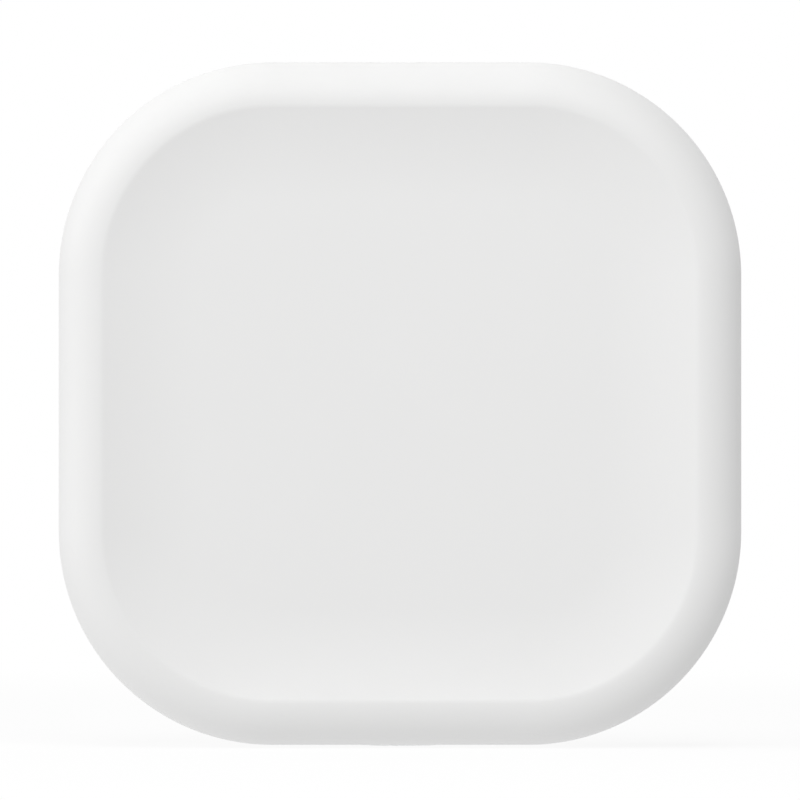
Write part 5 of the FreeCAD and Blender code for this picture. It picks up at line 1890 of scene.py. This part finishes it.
def make_finishes() -> dict[str, Material]:
    """Makes every finish of the part.

    Returns:
        The materials, by the name of the material slot that each one fills.
    """
    bands = ((-1.5 * MM, (0.5, 0.05, 0.03)), (-0.5 * MM, (0.04, 0.04, 0.04)), (0.5 * MM, (0.45, 0.2, 0.03)))
    steel = {"under": (0.5, 0.5, 0.5), "lines": (3000.0, 3000.0, 500.0), "tarnish": 0.2}
    tin = {"under": (0.6, 0.6, 0.6), "lines": (3500.0, 3500.0, 160.0), "rubbed": 0.3}
    epoxy = {"pits": 5200.0, "pit_depth": 7e-6, "flow": 0.15, "rubbed": 0.15}
    finishes = {
        "housing_white": Moulding((0.84, 0.84, 0.837), 0.55, flow=0.002, rubbed=0.0),
        "cover_white": Moulding((0.82, 0.82, 0.815), 0.6, pit_depth=9e-6),
        "button_milk": MilkyMoulding((0.78, 0.8, 0.79), 0.32),
        "nickel_brass": Plating((0.66, 0.64, 0.6), 0.24),
        "carrier_grey": Moulding((0.2, 0.2, 0.21), 0.5, pit_depth=1.2e-5, flow=0.12),
        "zinc_steel": Plating((0.62, 0.63, 0.62), 0.32, **steel),
        "board_green": Laminate((0.035, 0.22, 0.09), 0.3),
        "board_blue": Laminate((0.03, 0.1, 0.28), 0.28, over_copper=(0.05, 0.18, 0.42), blocks=420.0),
        "ferrite": Sintered((0.1, 0.1, 0.11), 0.6),
        "bobbin_black": Moulding((0.06, 0.06, 0.06), 0.42, flow=0.1),
        "tape_yellow": TapeWrap((0.86, 0.62, 0.07), 0.22),
        "can_sleeve": ShrinkSleeve((0.06, 0.07, 0.12), 0.3),
        "varistor_blue": Dipped((0.06, 0.2, 0.5), 0.3),
        "film_yellow": Moulding((0.82, 0.64, 0.13), 0.34, pits=2500.0, pit_depth=6e-6, flow=0.04),
        "fuse_green": Dipped((0.3, 0.5, 0.4), 0.35, peel=8e-6, bands=bands),
        "choke_black": Sintered((0.08, 0.08, 0.085), 0.55, speckle=0.25),
        "chip_black": Moulding((0.035, 0.035, 0.04), 0.4, **epoxy),
        "header_black": Moulding((0.05, 0.05, 0.05), 0.42, flow=0.1),
        "gold_pin": Plating((0.83, 0.62, 0.26), 0.22, under=(0.7, 0.66, 0.58), rubbed=0.3),
        "tin_sheet": Plating((0.72, 0.72, 0.71), 0.3, **tin),
        "copper_strip": Plating((0.78, 0.4, 0.2), 0.28, under=(0.86, 0.5, 0.3), tarnish=0.25),
        "lamp_white": MilkyMoulding((0.88, 0.82, 0.6), 0.2, glow_depth=0.0005),
        "switch_black": Moulding((0.07, 0.07, 0.07), 0.45, flow=0.1),
        "plunger_white": Moulding((0.8, 0.8, 0.78), 0.4),
        "passive_tan": Sintered((0.56, 0.43, 0.28), 0.5, speckle=0.12, chips=0.3),
    }
    return {slot: finish.make(slot + "_finish") for slot, finish in finishes.items()}


@dataclass(frozen=True)
class SoftBox:
    """A square lamp that faces the object.

    Attributes:
        name: The lamp's name.
        azimuth: Degrees to the right of the camera, seen from above.
        elevation: Degrees above the object.
        level: How bright it makes a white card that faces it.
        reach: Its distance, in metres.
        side: The length of its side, in metres.
    """

    name: str
    azimuth: float
    elevation: float
    level: float
    reach: float = 1.0
    side: float = 0.6

    def place(self, target: Vector) -> None:
        """Hangs the lamp.

        Args:
            target: The point that it faces.
        """
        turn, lift = math.radians(self.azimuth), math.radians(self.elevation)
        flat = math.cos(lift)
        away = Vector((math.sin(turn) * flat, -math.cos(turn) * flat, math.sin(lift)))
        lamp = bpy.data.lights.new(self.name, "AREA")
        lamp.shape, lamp.size = "SQUARE", self.side
        lamp.energy = self.level * (math.pi * self.reach) ** 2
        holder = bpy.data.objects.new(self.name, lamp)
        holder.location = target + away * self.reach
        holder.rotation_euler = (-away).to_track_quat("-Z", "Y").to_euler()
        holder.visible_camera = False
        bpy.context.scene.collection.objects.link(holder)


@dataclass
class Studio:
    """Floor, surrounding light, lamps and camera.

    Attributes:
        lamps: The soft boxes.
        fill: How bright the surroundings make a white card.
        side_tilt: How much brighter the surroundings are on the left than on average.
        table_tilt: How much brighter they are below, off the white table, than on average.
        floor_side: The floor's side, in metres.
        floor_colour: The floor's colour.
        floor_glow: The share of the floor's white that comes from inside it.
        lens: The camera's focal length, in millimetres.
        frame_width: Width of the picture where the object's outline is, in metres.
        outline_depth: Depth of the outline in front of the wall plane, in metres.
        aim: Where the camera's axis meets the front, as X and Z in metres.
    """

    lamps: tuple[SoftBox, ...]
    fill: float = 0.665
    side_tilt: float = 0.168
    table_tilt: float = 0.203
    floor_side: float = 16.0
    floor_colour: Colour = (0.96, 0.96, 0.96)
    floor_glow: float = 0.85
    lens: float = 800.0
    frame_width: float = 76.19 * MM
    outline_depth: float = 25.65 * MM
    aim: tuple[float, float] = (0.0, 0.345 * MM)

    def build(self) -> None:
        """Sets up the whole studio."""
        scene = bpy.context.scene
        scene.view_settings.view_transform = "Standard"
        target = Vector((0.0, -0.5 * self.outline_depth, 0.0))
        for lamp in self.lamps:
            lamp.place(target)
        self.surround(scene)
        self.floor()
        self.camera(scene)
        LOG.info("studio has %d lamps", len(self.lamps))

    def surround(self, scene: bpy.types.Scene) -> None:
        """Gives soft light from all sides and a white ground behind the object.

        Args:
            scene: The scene that takes the surroundings.
        """
        world = bpy.data.worlds.new("Surroundings")
        world.use_nodes = True
        sheet = NodeSheet(world.node_tree)
        sheet.tree.nodes.clear()
        rays = sheet.add("LightPath").outputs
        seen = sheet.sum("MAXIMUM", rays["Is Camera Ray"], rays["Is Glossy Ray"])
        shown = sheet.sum("MAXIMUM", seen, rays["Is Transmission Ray"])
        across, _, upward = sheet.parts_of(sheet.add("TexCoord").outputs["Generated"])
        sideways = sheet.add("Math", {0: across, 1: -self.side_tilt, 2: self.fill}, operation="MULTIPLY_ADD")
        feeds = {0: upward, 1: -self.table_tilt, 2: sideways.outputs[0]}
        graded = sheet.add("Math", feeds, operation="MULTIPLY_ADD")
        soft = sheet.add("Background", {"Color": (1.0, 1.0, 1.0), "Strength": graded.outputs[0]})
        white = sheet.add("Background", {"Color": (1.0, 1.0, 1.0), "Strength": 1.0})
        both = sheet.add("MixShader", {0: shown, 1: soft.outputs[0], 2: white.outputs[0]})
        sheet.add("OutputWorld", {"Surface": both.outputs[0]})
        scene.world = world

    def floor(self) -> None:
        """Lays a light table that the object stands on, which lets light through and keeps its shadow."""
        half, level = self.floor_side / 2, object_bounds()[0].z
        corners = [(x * half, y * half, level) for x, y in ((-1, -1), (1, -1), (1, 1), (-1, 1))]
        mesh = bpy.data.meshes.new("floor")
        mesh.from_pydata(corners, [], [(0, 1, 2, 3)])
        floor = bpy.data.objects.new("floor", mesh)
        bpy.context.scene.collection.objects.link(floor)
        mesh.materials.append(self.floor_material())
        floor.visible_diffuse = False
        floor.visible_shadow = False
        floor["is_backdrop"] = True

    def floor_material(self) -> Material:
        """Makes the white sheet of a light table, whose far part melts into the ground.

        Returns:
            The floor's material, clear where it is seen from below.
        """
        sheet = MaterialSheet("Light table")
        # Sampled as a lamp, the seam between its two triangles would show on the object's underside.
        sheet.material.cycles.emission_sampling = "NONE"
        fibre = sheet.span(sheet.noise(sheet.place, 300.0, 4.0), 0.3, 0.7, 0.9, 0.98)
        feeds = {"Base Color": self.floor_colour, "Roughness": fibre, "Specular IOR Level": 0.0}
        sheet.feed(sheet.shader, feeds)
        white = sheet.add("Emission", {"Color": (1.0, 1.0, 1.0), "Strength": 1.0})
        clear = sheet.add("BsdfTransparent")
        camera_ray = sheet.add("LightPath").outputs["Is Camera Ray"]
        below = sheet.sum("MULTIPLY", sheet.add("NewGeometry").outputs["Backfacing"], camera_ray)
        away = sheet.add("VectorMath", {0: sheet.place}, operation="LENGTH")
        lifted = sheet.span(away.outputs["Value"], 0.15, 0.5, self.floor_glow, 1.0)
        top = sheet.add("MixShader", {0: lifted, 1: sheet.shader.outputs[0], 2: white.outputs[0]})
        whole = sheet.add("MixShader", {0: below, 1: top.outputs[0], 2: clear.outputs[0]})
        output = next(node for node in sheet.tree.nodes if node.type == "OUTPUT_MATERIAL")
        sheet.feed(output, {"Surface": whole.outputs[0]})
        return sheet.material

    def camera(self, scene: bpy.types.Scene) -> None:
        """Stands the camera square to the front, as far back as the photograph's.

        Args:
            scene: The scene that takes the camera.
        """
        lens = bpy.data.cameras.new("Camera")
        lens.lens, lens.sensor_width = self.lens, 36.0
        lens.clip_start, lens.clip_end = 0.1, 50.0
        holder = bpy.data.objects.new("Camera", lens)
        distance = self.frame_width * self.lens / lens.sensor_width
        holder.location = (self.aim[0], -self.outline_depth - distance, self.aim[1])
        holder.rotation_euler = (math.pi / 2, 0.0, 0.0)
        scene.collection.objects.link(holder)
        scene.camera = holder


def main() -> None:
    """Builds the extender's pieces in order and dresses them."""
    logging.basicConfig(level=logging.INFO, format="%(name)s: %(message)s")
    finishes = make_finishes()
    FrontShell().build(finishes["housing_white"])
    ButtonCap().build(finishes["button_milk"])
    SnapDome(finishes).build()
    shop = Assembly(finishes)
    for group, facing in (("power", Facing.FRONT), ("carrier", Facing.FRONT), ("radio", Facing.WALL)):
        for node in sorted(frame["nodes"]):
            if node.startswith(group + "_screw"):
                Screw().build(shop, node, facing)
    for node in ("input_capacitor_1", "input_capacitor_2", "output_capacitor"):
        CanCapacitor().build(shop, node)
    wide, fine = 0.8 * MM, 0.4 * MM
    chips = (
        Chip("bridge_rectifier", (3.2 * MM, 2.3 * MM), 2, 3.2 * MM, wide),
        Chip("switching_controller", (2.45 * MM, 1.95 * MM), 4, 1.225 * MM, fine),
        Chip("output_diode", (1.3 * MM, 2.1 * MM), 1, 0.0, wide),
        Chip("voltage_regulator", (2.3 * MM, 1.75 * MM), 3, 1.533 * MM, fine),
    )
    for chip in chips:
        chip.build(shop)
    BoardParts(finishes).build()
    for node in ("power_chip_parts", "radio_chip_parts"):
        ChipGrains(finishes).build(node)
    SolderJoints(finishes).build()
    dress_kept_parts(finishes)
    edges = {"header_base": 0.12, "header_socket": 0.15, "switch_housing": 0.15}
    edges |= {"transformer_bobbin": 0.12, "transformer_core": 0.2}
    for node, width in edges.items():
        break_edges(node, width * MM)
    lamps = (
        SoftBox("Front box", 0.0, 40.0, 0.333),
        SoftBox("Top box", 0.0, 80.0, 0.165),
        SoftBox("Left box", -85.0, 20.0, 0.155),
        SoftBox("Back box", 180.0, 55.0, 0.08),
    )
    Studio(lamps).build()


if __name__ == "__main__":
    main()
